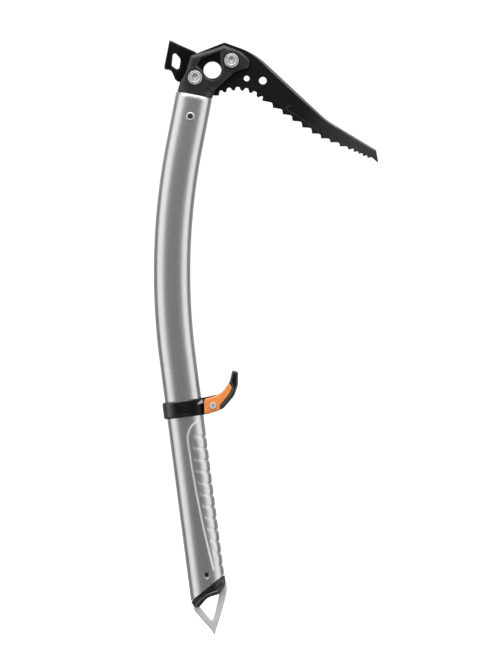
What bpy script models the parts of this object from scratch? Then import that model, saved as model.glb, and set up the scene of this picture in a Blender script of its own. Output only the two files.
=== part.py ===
"""Technical ice axe: head, pick, hammer, bowed oval shaft, sliding handrest and spike.

Frame: metres, +Z up the shaft, +X towards the pick, +Y to the far side.
The origin is the centre of the carabiner eye in the head.
Drawing sizes below are in millimetres and become metres when a mesh is made.
"""
import math

import bmesh
import bpy
from mathutils import Matrix, Vector

MM = 0.001
GAP = 0.3                                  # running gap left between touching pieces
ARC_TOLERANCE = 0.07                       # how far a chord may cut inside its arc

# Shaft: oval tube on a straight - bow - straight centreline
SHAFT_DEPTH = 32.0
SHAFT_THICK = 20.0
SHAFT_WALL = 1.6
OVAL_POWER = 2.5
OVAL_POINTS = 24
BOW_RADIUS = 579.0
BOW_X, BOW_Z = -35.5, -178.0               # centreline point furthest from the pick
TOP_LEAN = math.radians(11.0)
BOTTOM_LEAN = math.radians(7.45)
SHAFT_TOP = -157.7                         # distances along the centreline from the bow point
SHAFT_END = 278.9
END_SKEW = 0.614                           # slope of the oblique lower end
RIDGE_START, RIDGE_PITCH, RIDGE_COUNT = 147.0, 10.31, 12
RIDGE_DEPTH, RIDGE_REACH = 1.1, 9.0
RIDGE_STEPS, BOW_STEPS = 3, 12             # sections for each grip ridge and for the whole bow
END_REACH = 11.0                           # how far above the end the last square section lies

# Head and its fasteners
CHEEK_HALF = 9.6
EYE_RADIUS = 7.9
RECESS_FLOOR = 8.4                         # depth plane of the pocket round the eye
BOSS_RADIUS, BOSS_RISE, BOSS_CHAMFER = 9.2, 0.5, 1.2
PICK_THICK = 4.0
FORK_EAR = 2.5
TENON_LENGTH = 40.0
TENON_CORE = (11.0, 5.6)                   # half depth and half thickness of the tenon's hollow
FRONT_BOLT = (16.8, 7.5)
REAR_BOLT = (-15.2, -7.4)
BOLT_HEAD_RADIUS, BOLT_HEAD_THICK = 6.45, 2.9
BOLT_RADIUS, SLEEVE_RADIUS, SLEEVE_END = 3.0, 4.2, 1.9
BORE_RADIUS, BORE_FLOOR = 7.0, 8.7         # counterbore under a bolt head and its depth plane
THREAD_RELIEF = 0.4
SOCKET_RADIUS, SOCKET_DEPTH = 3.1, 1.9
RIVET_AT = (-19.3, -41.5)
RIVET_FLANGE, RIVET_RADIUS, RIVET_BORE = 4.0, 2.6, 2.2
RIVET_RISE, RIVET_DIMPLE = 0.9, 2.6        # flange thickness and depth of its hollow

# Hammer
FACE_HALF = 9.6                            # half width of the striking face
FACE_X, WAIST_X = -36.0, -29.2             # where the head narrows to the fork

# Pick teeth
SMALL_CENTRE, SMALL_RADIUS, SMALL_DEPTH = (21.6, -48.9), 31.0, 3.3
SMALL_FIRST, SMALL_PITCH, SMALL_COUNT = 109.1, 13.6, 5
SMALL_SQUARE, SMALL_BIAS = 1.7, 0.25       # flattens the wave and makes the gaps wider than the teeth
SAW_TIPS = [(43.8, -26.8), (53.3, -33.0), (62.0, -38.7), (70.5, -44.5), (79.1, -50.3), (87.7, -55.7),
            (95.7, -60.0), (103.8, -63.5), (112.2, -67.0), (119.7, -70.0), (124.6, -72.1),
            (128.7, -73.7), (132.6, -75.7), (136.6, -77.2), (145.4, -81.1)]
FIRST_SLOPE, FINE_SLOPE = -0.19, 0.22      # slope of a tooth's back at the head end and on the fine teeth
LEVEL_X = 100.0                            # beyond it the backs of the long teeth are level
FACE_LEAN = 0.5                            # how far a tooth's steep face leans over its own height
ROOT_RADIUS, FINE_RADIUS, FINE_PITCH = 2.1, 0.7, 6.5

# Handrest, drawn about its band's centre with local Z up along the shaft
REST_AT = 120.4                            # place along the centreline
BAND_HEIGHT, BAND_WALL = 15.0, 2.4
PIN_AT = (25.4, -0.55)
PIN_RADIUS, PIN_HEAD_RADIUS = 2.1, 3.1
CHEEK_IN, CHEEK_OUT = 7.1, 9.9             # lever cheeks, from the middle plane
EAR_IN, EAR_OUT = 2.3, 6.8                 # band ears, from the middle plane
FORK_CLEARANCE = 12.2                      # radius swept clear of the ears about the pin
WINDOW_TOP = 4.2                           # top of the slot in the band that the pawl reaches through
SPRING_RADIUS, SPRING_WIRE, SPRING_TURNS = 3.1, 0.26, 1.75

# Bottom end
SPIKE_THICK = 4.6
SPIKE_PIN_AT = (-5.0, -443.7)
SPIKE_PIN_RADIUS = 2.0


# ---------------------------------------------------------------- materials
def material(name, colour, roughness, metallic=0.0):
    mat = bpy.data.materials.new(name)
    mat.use_nodes = True
    shader = mat.node_tree.nodes["Principled BSDF"]
    shader.inputs["Base Color"].default_value = (*colour, 1.0)
    shader.inputs["Roughness"].default_value = roughness
    shader.inputs["Metallic"].default_value = metallic
    mat.diffuse_color = (*colour, 1.0)
    return mat


# ---------------------------------------------------------------- outline helpers
def arc(centre, radius, start, end, count):
    """Points on an arc in the XZ plane, angles in degrees, both ends included."""
    angles = [math.radians(start + (end - start) * i / count) for i in range(count + 1)]
    return [(centre[0] + radius * math.cos(a), centre[1] + radius * math.sin(a)) for a in angles]


def rounded(corners):
    """Closed outline through corners (x, z, radius), each corner turned into an arc."""
    points = []
    for i, (x, z, radius) in enumerate(corners):
        here = Vector((x, z))
        before = (Vector(corners[i - 1][:2]) - here).normalized()
        after = (Vector(corners[(i + 1) % len(corners)][:2]) - here).normalized()
        if radius <= 0:
            points.append((x, z))
            continue
        half = before.angle(after) / 2
        reach = radius / math.tan(half)
        centre = here + (before + after).normalized() * radius / math.sin(half)
        first = here + before * reach - centre
        turn = -(first.angle_signed(here + after * reach - centre))
        step = 2 * math.acos(1 - min(ARC_TOLERANCE / radius, 0.3))
        steps = math.ceil(abs(turn) / step)
        for k in range(steps + 1):
            spoke = Matrix.Rotation(turn * k / steps, 2) @ first
            points.append(tuple(centre + spoke))
    return points


def oval(half_depth, half_thick):
    """Superellipse section as (across, depth) pairs."""
    points = []
    for i in range(OVAL_POINTS):
        t = 2 * math.pi * i / OVAL_POINTS
        c, s = math.cos(t), math.sin(t)
        points.append((math.copysign(abs(c) ** (2 / OVAL_POWER), c) * half_depth,
                       math.copysign(abs(s) ** (2 / OVAL_POWER), s) * half_thick))
    return points


# ---------------------------------------------------------------- shaft centreline
def lean_at(s):
    return min(max(s / BOW_RADIUS, -TOP_LEAN), BOTTOM_LEAN)


def centre_at(s):
    """Centreline point (x, z) at distance s below the bow point."""
    lean = lean_at(s)
    beyond = s - lean * BOW_RADIUS
    x = BOW_X + BOW_RADIUS * (1 - math.cos(lean)) + beyond * math.sin(lean)
    z = BOW_Z - BOW_RADIUS * math.sin(lean) - beyond * math.cos(lean)
    return x, z


def on_shaft(s, across, depth):
    """Point at distance s, `across` towards the pick and `depth` towards the far side."""
    x, z = centre_at(s)
    lean = lean_at(s)
    return Vector((x + across * math.cos(lean), depth, z + across * math.sin(lean)))


# ---------------------------------------------------------------- solids
def add_object(name, bm, mat=None, parent=None, location=(0, 0, 0), smooth=35):
    """Turn a bmesh drawn in millimetres into an object in metres."""
    bmesh.ops.scale(bm, vec=(MM, MM, MM), verts=bm.verts)
    bmesh.ops.recalc_face_normals(bm, faces=bm.faces)
    mesh = bpy.data.meshes.new(name)
    bm.to_mesh(mesh)
    bm.free()
    if mat:
        mesh.materials.append(mat)
    mesh.shade_smooth()
    mesh.set_sharp_from_angle(angle=math.radians(smooth))
    obj = bpy.data.objects.new(name, mesh)
    bpy.context.scene.collection.objects.link(obj)
    obj.parent = parent
    obj.location = Vector(location) * MM
    return obj


def prism(outline, near, far):
    """Outline in XZ run along Y from near to far."""
    bm = bmesh.new()
    front = [bm.verts.new((x, near, z)) for x, z in outline]
    back = [bm.verts.new((x, far, z)) for x, z in outline]
    bm.faces.new(front)
    bm.faces.new(reversed(back))
    for i in range(len(outline)):
        j = (i + 1) % len(outline)
        bm.faces.new((front[i], front[j], back[j], back[i]))
    return bm


def loft(rings):
    """Closed skin through rings of equal length, with flat ends."""
    bm = bmesh.new()
    rows = [[bm.verts.new(p) for p in ring] for ring in rings]
    count = len(rings[0])
    for upper, lower in zip(rows, rows[1:]):
        for i in range(count):
            j = (i + 1) % count
            bm.faces.new((upper[i], upper[j], lower[j], lower[i]))
    bm.faces.new(rows[0])
    bm.faces.new(reversed(rows[-1]))
    return bm


def turned(profile, steps=24):
    """Profile of (radius, y) pairs turned about the Y axis; end radii of zero close it."""
    rings = []
    bm = bmesh.new()
    for radius, y in profile:
        if radius == 0:
            rings.append([bm.verts.new((0, y, 0))])
            continue
        rings.append([bm.verts.new((radius * math.cos(2 * math.pi * i / steps), y,
                                    radius * math.sin(2 * math.pi * i / steps))) for i in range(steps)])
    for one, two in zip(rings, rings[1:]):
        for i in range(steps):
            j = (i + 1) % steps
            corners = [one[i % len(one)], one[j % len(one)], two[j % len(two)], two[i % len(two)]]
            bm.faces.new(list(dict.fromkeys(corners)))
    return bm


def shift(bm, x, z):
    bmesh.ops.translate(bm, vec=(x, 0, z), verts=bm.verts)
    return bm


def disc(centre, radius, near, far, steps=28):
    """Round bar along Y."""
    return shift(turned([(0, near), (radius, near), (radius, far), (0, far)], steps), *centre)


def block(low, high):
    bm = bmesh.new()
    bmesh.ops.create_cube(bm, size=1.0)
    size = Vector(high) - Vector(low)
    bmesh.ops.scale(bm, vec=size, verts=bm.verts)
    bmesh.ops.translate(bm, vec=(Vector(low) + Vector(high)) / 2, verts=bm.verts)
    return bm


def boolean(obj, name, bm, operation="DIFFERENCE", solver="EXACT"):
    """Cut, join or intersect obj with a hidden tool shape drawn in obj's own frame."""
    tool = add_object(name, bm, parent=obj)
    tool.hide_render = True
    tool.display_type = "WIRE"
    step = obj.modifiers.new(name, "BOOLEAN")
    step.operation = operation
    step.solver = solver
    step.object = tool


def bevel(obj, width, segments=1, angle=50):
    step = obj.modifiers.new("edge", "BEVEL")
    step.width = width * MM
    step.segments = segments
    step.limit_method = "ANGLE"
    step.angle_limit = math.radians(angle)


# ---------------------------------------------------------------- shaft
def ridge_cut(s, across):
    """How far the grip valleys draw the pick side in at this place."""
    first = RIDGE_START - RIDGE_PITCH / 2
    last = RIDGE_START + (RIDGE_COUNT - 0.5) * RIDGE_PITCH
    if not first < s < last:
        return 0.0
    wave = 0.5 + 0.5 * math.cos(2 * math.pi * (s - RIDGE_START) / RIDGE_PITCH)
    edge = min(max((across - (SHAFT_DEPTH / 2 - RIDGE_REACH)) / RIDGE_REACH, 0.0), 1.0)
    return RIDGE_DEPTH * wave * edge ** 0.7


def bow_stations():
    """Distances along the centreline that share out its curved stretch."""
    sweep = TOP_LEAN + BOTTOM_LEAN
    return [BOW_RADIUS * (sweep * i / BOW_STEPS - TOP_LEAN) for i in range(BOW_STEPS + 1)]


def ridge_stations():
    count = RIDGE_STEPS * RIDGE_COUNT
    return [RIDGE_START + (i / RIDGE_STEPS - 0.5) * RIDGE_PITCH for i in range(count + 1)]


def oval_ring(s, half_depth, half_thick, skew=0.0, ridged=False):
    ring = []
    for across, depth in oval(half_depth, half_thick):
        inward = ridge_cut(s, across) if ridged else 0.0
        ring.append(on_shaft(s - skew * across, across - inward, depth))
    return ring


def make_shaft(mat):
    half_depth, half_thick = SHAFT_DEPTH / 2, SHAFT_THICK / 2
    outside = [SHAFT_TOP + GAP, *bow_stations(), *ridge_stations(), SHAFT_END - END_REACH]
    rings = [oval_ring(s, half_depth, half_thick, ridged=True) for s in outside]
    rings.append(oval_ring(SHAFT_END, half_depth, half_thick, END_SKEW))
    shaft = add_object("shaft", loft(rings), mat)
    size = (half_depth - SHAFT_WALL, half_thick - SHAFT_WALL)
    inside = [SHAFT_TOP - 5, *bow_stations(), SHAFT_END - END_REACH - 3]
    inner = [oval_ring(s, *size) for s in inside]
    inner.append(oval_ring(SHAFT_END + 5, *size, END_SKEW))
    boolean(shaft, "shaft_hollow", loft(inner))
    boolean(shaft, "shaft_rivet_hole", disc(RIVET_AT, RIVET_RADIUS + GAP, -15, 15, 20))
    boolean(shaft, "shaft_pin_hole", disc(SPIKE_PIN_AT, SPIKE_PIN_RADIUS + GAP, -15, 15, 20))


# ---------------------------------------------------------------- head
def head_outline():
    return rounded([
        (-33.2, -26.6, 0), (-2.0, -31.8, 0), (2.4, -18.2, 6), (20.2, -1.7, 12), (31.4, 1.0, 2.5),
        (33.4, 8.0, 5), (25.5, 15.0, 8), (10.3, 21.4, 2), (1.5, 17.9, 12), (-19.4, 12.2, 3.5),
        (-24.0, -4.0, 20), (-28.2, -10.6, 6)])


def neck_envelope():
    """Skin that is the shaft's oval at the joint and widens into flat cheeks above it."""
    sections = [(0, 16.1, 10.0, 0), (4, 17.5, 9.9, 0), (10, 24, 9.8, 1), (20, 40, 9.7, 2), (60, 70, 9.6, 2)]
    rings = []
    for height, half_depth, half_thick, across in sections:
        ring = [on_shaft(SHAFT_TOP - height, across + u, v) for u, v in oval(half_depth, half_thick)]
        rings.append(ring)
    return loft(rings)


def recess_outline():
    """Pocket round the eye, between the two bosses."""
    return rounded([(-15.4, 3.87, 2.5), (-10.5, 10.6, 4.0), (8.2, 17.4, 1.5), (8.6, -1.5, 6.0),
                    (6.0, -8.2, 4.0), (0.6, -11.2, 3.0), (-3.4, -8.13, 3.0)])


def boss():
    rim = CHEEK_HALF + BOSS_RISE
    top, foot = BOSS_RADIUS - BOSS_CHAMFER, rim - BOSS_CHAMFER
    return turned([(0, -rim), (top, -rim), (BOSS_RADIUS, -foot), (BOSS_RADIUS, foot), (top, rim), (0, rim)])


def bolt_bore():
    """Stepped hole: counterbore, bolt shank, nut sleeve, counterbore."""
    shank, sleeve = BOLT_RADIUS + GAP, SLEEVE_RADIUS + GAP
    return turned([(0, -20), (BORE_RADIUS, -20), (BORE_RADIUS, -BORE_FLOOR), (shank, -BORE_FLOOR),
                   (shank, 0), (sleeve, 0), (sleeve, BORE_FLOOR), (BORE_RADIUS, BORE_FLOOR),
                   (BORE_RADIUS, 20), (0, 20)])


def make_head(mat):
    head = add_object("head_body", prism(head_outline(), -CHEEK_HALF - 1, CHEEK_HALF + 1), mat)
    bevel(head, 1.6, 2)
    boolean(head, "neck_envelope", neck_envelope(), "INTERSECT")
    for name, centre in (("front_boss", FRONT_BOLT), ("rear_boss", REAR_BOLT)):
        boolean(head, name, shift(boss(), *centre), "UNION")
    tenon = [oval_ring(s, SHAFT_DEPTH / 2 - SHAFT_WALL - GAP, SHAFT_THICK / 2 - SHAFT_WALL - GAP)
             for s in (SHAFT_TOP - 3, SHAFT_TOP + TENON_LENGTH)]
    boolean(head, "tenon", loft(tenon), "UNION")
    core = [oval_ring(s, *TENON_CORE) for s in (SHAFT_TOP + 4, SHAFT_TOP + TENON_LENGTH + 5)]
    boolean(head, "tenon_core", loft(core))
    thin = PICK_THICK / 2 + GAP
    blade_slot = [(40, -25.9), (3.4, -25.9), (-3.2, -19.0), (-9.0, -15.0), (-12, -12.5), (-12, 40), (40, 40)]
    boolean(head, "blade_slot", prism(blade_slot, -thin, thin))
    wide = thin + FORK_EAR + GAP
    fork_slot = [(-7.2, 41), (-5.8, 0), (-5.8, -12.0), (-10.0, -16.7), (-16.0, -17.0), (-29.5, -11.2),
                 (-45, -11.2), (-45, 41)]
    boolean(head, "fork_slot", prism(fork_slot, -wide, wide), solver="MANIFOLD")
    boolean(head, "eye_hole", disc((0, 0), EYE_RADIUS, -20, 20), solver="MANIFOLD")
    for side, depths in (("near", (-20, -RECESS_FLOOR)), ("far", (RECESS_FLOOR, 20))):
        boolean(head, f"eye_recess_{side}", prism(recess_outline(), *depths), solver="MANIFOLD")
    for name, centre in (("front", FRONT_BOLT), ("rear", REAR_BOLT)):
        boolean(head, f"{name}_bolt_bore", shift(bolt_bore(), *centre), solver="MANIFOLD")
    boolean(head, "rivet_bore", disc(RIVET_AT, RIVET_RADIUS + GAP, -20, 20, 20), solver="MANIFOLD")


def small_teeth():
    """Blunt teeth with wider round gaps near the head: a flattened wave about one arc."""
    middle, swing = SMALL_RADIUS + SMALL_DEPTH / 2, SMALL_DEPTH / 2
    points = []
    steps = 8 * SMALL_COUNT
    for i in range(steps + 1):
        angle = SMALL_FIRST - SMALL_PITCH * (i / 8 - 0.5)
        phase = 2 * math.pi * (angle - SMALL_FIRST) / SMALL_PITCH
        radius = middle - swing * math.tanh(SMALL_SQUARE * math.cos(phase) - SMALL_BIAS)
        a = math.radians(angle)
        points.append((SMALL_CENTRE[0] + radius * math.cos(a), SMALL_CENTRE[1] + radius * math.sin(a)))
    return points


def saw_teeth():
    """Hooked teeth as corners: a sharp tip, a nearly level back, a rounded root and a steep face."""
    corners = []
    for (x, z), (next_x, _) in zip(SAW_TIPS, SAW_TIPS[1:]):
        fine = next_x - x < FINE_PITCH
        level = min((x - SAW_TIPS[0][0]) / (LEVEL_X - SAW_TIPS[0][0]), 1.0)
        slope = FINE_SLOPE if fine else FIRST_SLOPE * (1 - level)
        root = z + slope * (next_x - x)
        corners += [(x, z, 0), (next_x - FACE_LEAN, root, FINE_RADIUS if fine else ROOT_RADIUS)]
    return corners[:-1]                    # the last back runs straight to the tip of the pick


def pick_outline():
    point = [(100.3, -44.0, 60.0), (144.0, -70.4, 1.2), (146.0, -81.6, 0.4), (140.2, -76.6, 1.0)]
    back = [(-15.6, 13.9, 1.0), (10.6, 24.2, 3.0), (37.6, 14.5, 65.0)]
    tail = [(1.6, -22.4), (-2.9, -18.6), (-9.0, -13.6), *arc(REAR_BOLT, 7.0, 290, 160, 8)]
    near_head = [(5.6, -22.3), (6.4, -18.6), *small_teeth()]
    lower = [(x, z, 0) for x, z in tail[::-1] + near_head]
    return rounded(back[::-1] + lower + saw_teeth() + point[::-1])


def make_pick(mat):
    half = PICK_THICK / 2
    pick = add_object("pick", prism(pick_outline(), -half, half), mat)
    sleeve = SLEEVE_RADIUS + GAP
    holes = {"eye": ((0, 0), EYE_RADIUS), "front": (FRONT_BOLT, sleeve), "rear": (REAR_BOLT, sleeve),
             "small": ((30.2, -7.4), 2.55), "large": ((44.4, -9.3), 3.4)}
    for name, (centre, radius) in holes.items():
        boolean(pick, f"pick_{name}_hole", disc(centre, radius, -5, 5, 24))


def make_hammer(mat):
    head = [(-37.6, 25.9, 1.0), (-42.5, 1.0, 1.2), (-36.4, 0.4, 4.0), (-32.4, -9.2, 6.0), (-28.6, -10.6, 0.5)]
    ear = [*arc(REAR_BOLT, 8.4, 250, 380, 9), (-9.4, 13.0), (-13.4, 14.7), (-15.2, 16.1)]
    outline = rounded(head + [(x, z, 0) for x, z in ear])
    hammer = add_object("hammer", prism(outline, -FACE_HALF - 0.2, FACE_HALF + 0.2), mat)
    bevel(hammer, 1.2, 2)
    blade = PICK_THICK / 2 + GAP
    inside = blade + FORK_EAR
    half_plan = [(-60, -FACE_HALF), (FACE_X, -FACE_HALF), (WAIST_X, -inside), (10, -inside)]
    plan = half_plan + [(x, -y) for x, y in reversed(half_plan)]
    waist = loft([[(x, y, -40) for x, y in plan], [(x, y, 40) for x, y in plan]])
    boolean(hammer, "hammer_waist", waist, "INTERSECT")
    fork = [(-22.6, -30), (20, -30), (20, 40), (-17.5, 40), (-17.5, 12.0), (-22.6, 4.0)]
    boolean(hammer, "fork_gap", prism(fork, -blade, blade))
    window = rounded([(-34.6, 17.4, 1.8), (-36.0, 3.6, 2.0), (-29.6, -0.8, 2.0), (-27.6, 9.6, 6.0)])
    boolean(hammer, "hammer_window", prism(window, -15, 15))
    boolean(hammer, "hammer_bolt_hole", disc(REAR_BOLT, SLEEVE_RADIUS + GAP, -15, 15, 24))


def make_head_bolt(name, centre, mat):
    under = BORE_FLOOR + 0.3
    top = under + BOLT_HEAD_THICK
    tip = BORE_FLOOR - 2.4
    thin = BOLT_RADIUS - THREAD_RELIEF
    shank = [(0, tip), (thin, tip), (thin, -SLEEVE_END - 0.5), (BOLT_RADIUS, -SLEEVE_END - 0.7)]
    head = [(BOLT_RADIUS, -under), (BOLT_HEAD_RADIUS, -under), (BOLT_HEAD_RADIUS, -top + 0.9),
            (BOLT_HEAD_RADIUS - 0.9, -top), (0, -top)]
    bolt = add_object(name, turned(shank + head), mat, location=(centre[0], 0, centre[1]))
    boolean(bolt, f"{name}_socket", disc((0, 0), SOCKET_RADIUS, -top - 1, -top + SOCKET_DEPTH, 6))


def make_head_nut(name, centre, mat):
    under = BORE_FLOOR + 0.3
    top = under + BOLT_HEAD_THICK - 0.6
    sleeve = [(0, under - 1.5), (BOLT_RADIUS, under - 1.5), (BOLT_RADIUS, -SLEEVE_END),
              (SLEEVE_RADIUS, -SLEEVE_END), (SLEEVE_RADIUS, under)]
    head = [(BOLT_HEAD_RADIUS, under), (BOLT_HEAD_RADIUS, top - 0.8), (BOLT_HEAD_RADIUS - 0.8, top), (0, top)]
    add_object(name, turned(sleeve + head), mat, location=(centre[0], 0, centre[1]))


def make_rivet(mat):
    under = SHAFT_THICK / 2 + GAP
    top = under + RIVET_RISE
    hollow = [(0, RIVET_DIMPLE - top), (RIVET_BORE, RIVET_DIMPLE - top), (RIVET_BORE, 0.4 - top)]
    flange = [(RIVET_BORE + 0.5, -top), (RIVET_FLANGE - 0.6, -top), (RIVET_FLANGE, -under - 0.2),
              (RIVET_FLANGE, -under), (RIVET_RADIUS, -under)]
    near = hollow + flange
    far = [(radius, -y) for radius, y in reversed(near)]
    add_object("head_rivet", turned(near + far), mat, location=(RIVET_AT[0], 0, RIVET_AT[1]))


# ---------------------------------------------------------------- handrest
def oval_block(half_depth, half_thick, low, high):
    ring = oval(half_depth, half_thick)
    return loft([[(u, v, z) for u, v in ring] for z in (high, low)])


def make_band(mat, frame):
    half = BAND_HEIGHT / 2
    outer = (SHAFT_DEPTH / 2 + GAP + BAND_WALL, SHAFT_THICK / 2 + GAP + BAND_WALL)
    band = add_object("handrest_band", oval_block(*outer, -half, half), mat, frame)
    bevel(band, 0.8, 2)
    ears = rounded([(12.0, -7.3, 0), (18.5, -7.3, 3), (30.4, -4.4, 2), (31.4, 8.5, 1.5),
                    (20.0, 7.4, 8), (12.0, 7.2, 0)])
    boolean(band, "band_ears", prism(ears, -EAR_OUT, EAR_OUT), "UNION")
    boolean(band, "band_bore", oval_block(SHAFT_DEPTH / 2 + GAP, SHAFT_THICK / 2 + GAP, -20, 20))
    boolean(band, "band_channel", block((19.2, -EAR_IN, -20), (45, EAR_IN, 20)))
    boolean(band, "band_window", block((10, -EAR_IN, -20), (20, EAR_IN, WINDOW_TOP)))
    pocket = PIN_AT[0] - 10.5                  # clears the rounded back of the lever's cheeks
    boolean(band, "band_pocket_near", block((pocket, -20, -20), (30, -EAR_OUT, 20)))
    boolean(band, "band_pocket_far", block((pocket, EAR_OUT, -20), (30, 20, 20)))
    boolean(band, "band_pin_hole", disc(PIN_AT, PIN_RADIUS + GAP, -15, 15, 20))


def fork_gap():
    """Space between the lever's cheeks: the disc the ears sweep, open towards the shaft."""
    swept = arc((0, 0), FORK_CLEARANCE, -120, 120, 24) + [(-30, 10.6), (-30, -10.6)]
    return prism(swept, -CHEEK_IN, CHEEK_IN)


def make_lever(mat, pivot):
    outline = rounded([
        (-7.7, -7.5, 1.0), (-4.0, -7.3, 4.0), (6.4, -4.0, 0.8), (6.3, -0.2, 2.5), (14.6, 10.0, 8.0),
        (17.2, 16.0, 2.5), (14.3, 20.2, 0.6), (6.8, 10.2, 6.0), (-7.7, 5.6, 2.4)])
    lever = add_object("lever", prism(outline, -CHEEK_OUT, CHEEK_OUT), mat, pivot)
    bevel(lever, 0.6, 1)
    boolean(lever, "lever_fork_gap", fork_gap())
    boolean(lever, "lever_pin_hole", disc((0, 0), PIN_RADIUS + GAP, -15, 15, 20))


def make_hook(mat, pivot):
    outline = rounded([
        (6.9, -3.9, 0), (9.8, -1.9, 6.0), (18.8, 8.6, 14.0), (22.0, 18.0, 12.0), (22.2, 29.6, 2.0),
        (17.0, 30.9, 1.4), (14.7, 20.7, 0.3), (17.6, 16.2, 2.8), (14.95, 9.7, 8.3), (6.7, -0.4, 2.8)])
    hook = add_object("lever_hook", prism(outline, -CHEEK_OUT, CHEEK_OUT), mat, pivot)
    bevel(hook, 0.6, 1)
    boolean(hook, "hook_fork_gap", fork_gap())


def make_pawl(mat, pivot):
    """Disc on the pin with a nose that bites on the shaft's edge."""
    nose = [(-8.85, -1.9), (-8.6, -3.4), (-3.6, -4.4)]
    pawl = add_object("jam_pawl", prism(arc((0, 0), 5.0, -105, 150, 17) + nose, -2.0, 0.2), mat, pivot)
    boolean(pawl, "pawl_pin_hole", disc((0, 0), PIN_RADIUS + GAP, -5, 5, 20))


def make_spring(mat, pivot):
    """Torsion spring coiled round the pin, beside the pawl."""
    steps, start = 28, 0.85
    curve = bpy.data.curves.new("lever_spring", "CURVE")
    curve.dimensions = "3D"
    curve.bevel_depth = SPRING_WIRE * MM
    curve.bevel_resolution = 1
    curve.use_fill_caps = True
    spline = curve.splines.new("POLY")
    coil = []
    for i in range(steps + 1):
        a = 2 * math.pi * SPRING_TURNS * i / steps
        coil.append((SPRING_RADIUS * math.cos(a), start * (1 + i / steps), SPRING_RADIUS * math.sin(a)))
    spline.points.add(len(coil) - 1)
    for point, (x, y, z) in zip(spline.points, coil):
        point.co = (x * MM, y * MM, z * MM, 1)
    curve.materials.append(mat)
    spring = bpy.data.objects.new("lever_spring", curve)
    bpy.context.scene.collection.objects.link(spring)
    spring.parent = pivot


def make_lever_pin(mat, pivot):
    under = CHEEK_OUT + GAP
    top, end = under + 0.8, under + 1.8
    hollow = [(0, 1.6 - top), (1.5, 1.6 - top), (1.5, 0.3 - top), (1.8, -top)]
    head = [(PIN_HEAD_RADIUS - 0.4, -top), (PIN_HEAD_RADIUS, 0.4 - top), (PIN_HEAD_RADIUS, -under)]
    shank = [(PIN_RADIUS, -under), (PIN_RADIUS, end - 0.4), (PIN_RADIUS - 0.4, end), (0, end)]
    add_object("lever_pin", turned(hollow + head + shank), mat, pivot)


def make_pin_clip(mat, pivot):
    """Ring pressed on the pin's far end."""
    under = CHEEK_OUT + GAP
    band = disc((0, 0), PIN_HEAD_RADIUS + 0.5, under, under + 0.9, 24)
    ring = add_object("lever_pin_clip", band, mat, pivot)
    boolean(ring, "clip_bore", disc((0, 0), PIN_RADIUS + GAP, 0, 20, 20))


# ---------------------------------------------------------------- bottom end
def make_ferrule(mat):
    """Plug in the shaft's end with a cap that tapers down to the spike."""
    outline = rounded([
        (-17.6, -466.8, 0), (12.4, -442.5, 0), (13.2, -449.6, 1.2), (6.8, -460.4, 3), (-4.0, -463.4, 12),
        (-11.6, -472.4, 2.0), (-15.8, -472.3, 1.5), (-19.2, -468.0, 0.6)])
    ferrule = add_object("spike_ferrule", prism(outline, -12, 12), mat)
    taper = [(0, 10.0), (10, 9.9), (20, 8.4), (30, 5.8), (40, 4.4)]
    cap = [oval_ring(SHAFT_END - 12 + s, SHAFT_DEPTH / 2 + 0.3, half_thick) for s, half_thick in taper]
    boolean(ferrule, "ferrule_taper", loft(cap), "INTERSECT")
    size = (SHAFT_DEPTH / 2 - SHAFT_WALL - GAP, SHAFT_THICK / 2 - SHAFT_WALL - GAP)
    face = [oval_ring(SHAFT_END - 30, 40, 40), oval_ring(SHAFT_END + GAP, 40, 40, END_SKEW)]
    boolean(ferrule, "shaft_end_face", loft(face))
    plug = [oval_ring(SHAFT_END - 29, *size), oval_ring(SHAFT_END - 16, *size)]
    plug.append(oval_ring(SHAFT_END + 3, *size, END_SKEW))
    boolean(ferrule, "shaft_plug", loft(plug), "UNION")
    half = SPIKE_THICK / 2 + GAP
    boolean(ferrule, "tang_slot", prism(tang_outline(GAP, 16.5, 22, 30), -half, half))
    boolean(ferrule, "ferrule_pin_hole", disc(SPIKE_PIN_AT, SPIKE_PIN_RADIUS + GAP, -15, 15, 20))


def tang_outline(margin, left, right, below):
    """Tang of the spike, grown by a margin, widening to left and right at its root."""
    side = 7.5 + margin
    top = SHAFT_END - 24 - margin
    corners = [(top, -side), (top, side), (SHAFT_END - 6 - margin, side), (SHAFT_END - 6 - margin, right),
               (SHAFT_END + below, right), (SHAFT_END + below, -left), (SHAFT_END + 6 - margin, -left),
               (SHAFT_END + 6 - margin, -side)]
    return [(p.x, p.z) for p in (on_shaft(s, across, 0) for s, across in corners)]


def make_spike(mat):
    """Triangular frame with a window; its tang runs up inside the ferrule."""
    half = SPIKE_THICK / 2
    frame = rounded([
        (12.6, -450.0, 1.0), (12.9, -459.0, 20.0), (8.0, -478.0, 60.0), (3.6, -491.0, 6.0),
        (2.2, -497.4, 0.7), (-1.2, -492.2, 12.0), (-15.8, -475.6, 4.0), (-17.0, -470.6, 1.0),
        (-8.0, -460.0, 0.0)])
    spike = add_object("spike", prism(frame, -half, half), mat)
    bevel(spike, 0.6, 2, 40)
    boolean(spike, "spike_tang", prism(tang_outline(0, 13.5, 13.0, 8), -half + 0.05, half - 0.05), "UNION")
    window = rounded([
        (6.9, -458.0, 1.5), (2.6, -476.4, 30.0), (0.0, -485.0, 1.3), (-3.6, -481.2, 6.0),
        (-12.0, -471.6, 2.0), (-4.0, -462.9, 12.0)])
    boolean(spike, "spike_window", prism(window, -10, 10))
    boolean(spike, "spike_pin_hole", disc(SPIKE_PIN_AT, SPIKE_PIN_RADIUS + GAP, -15, 15, 20))


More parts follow.
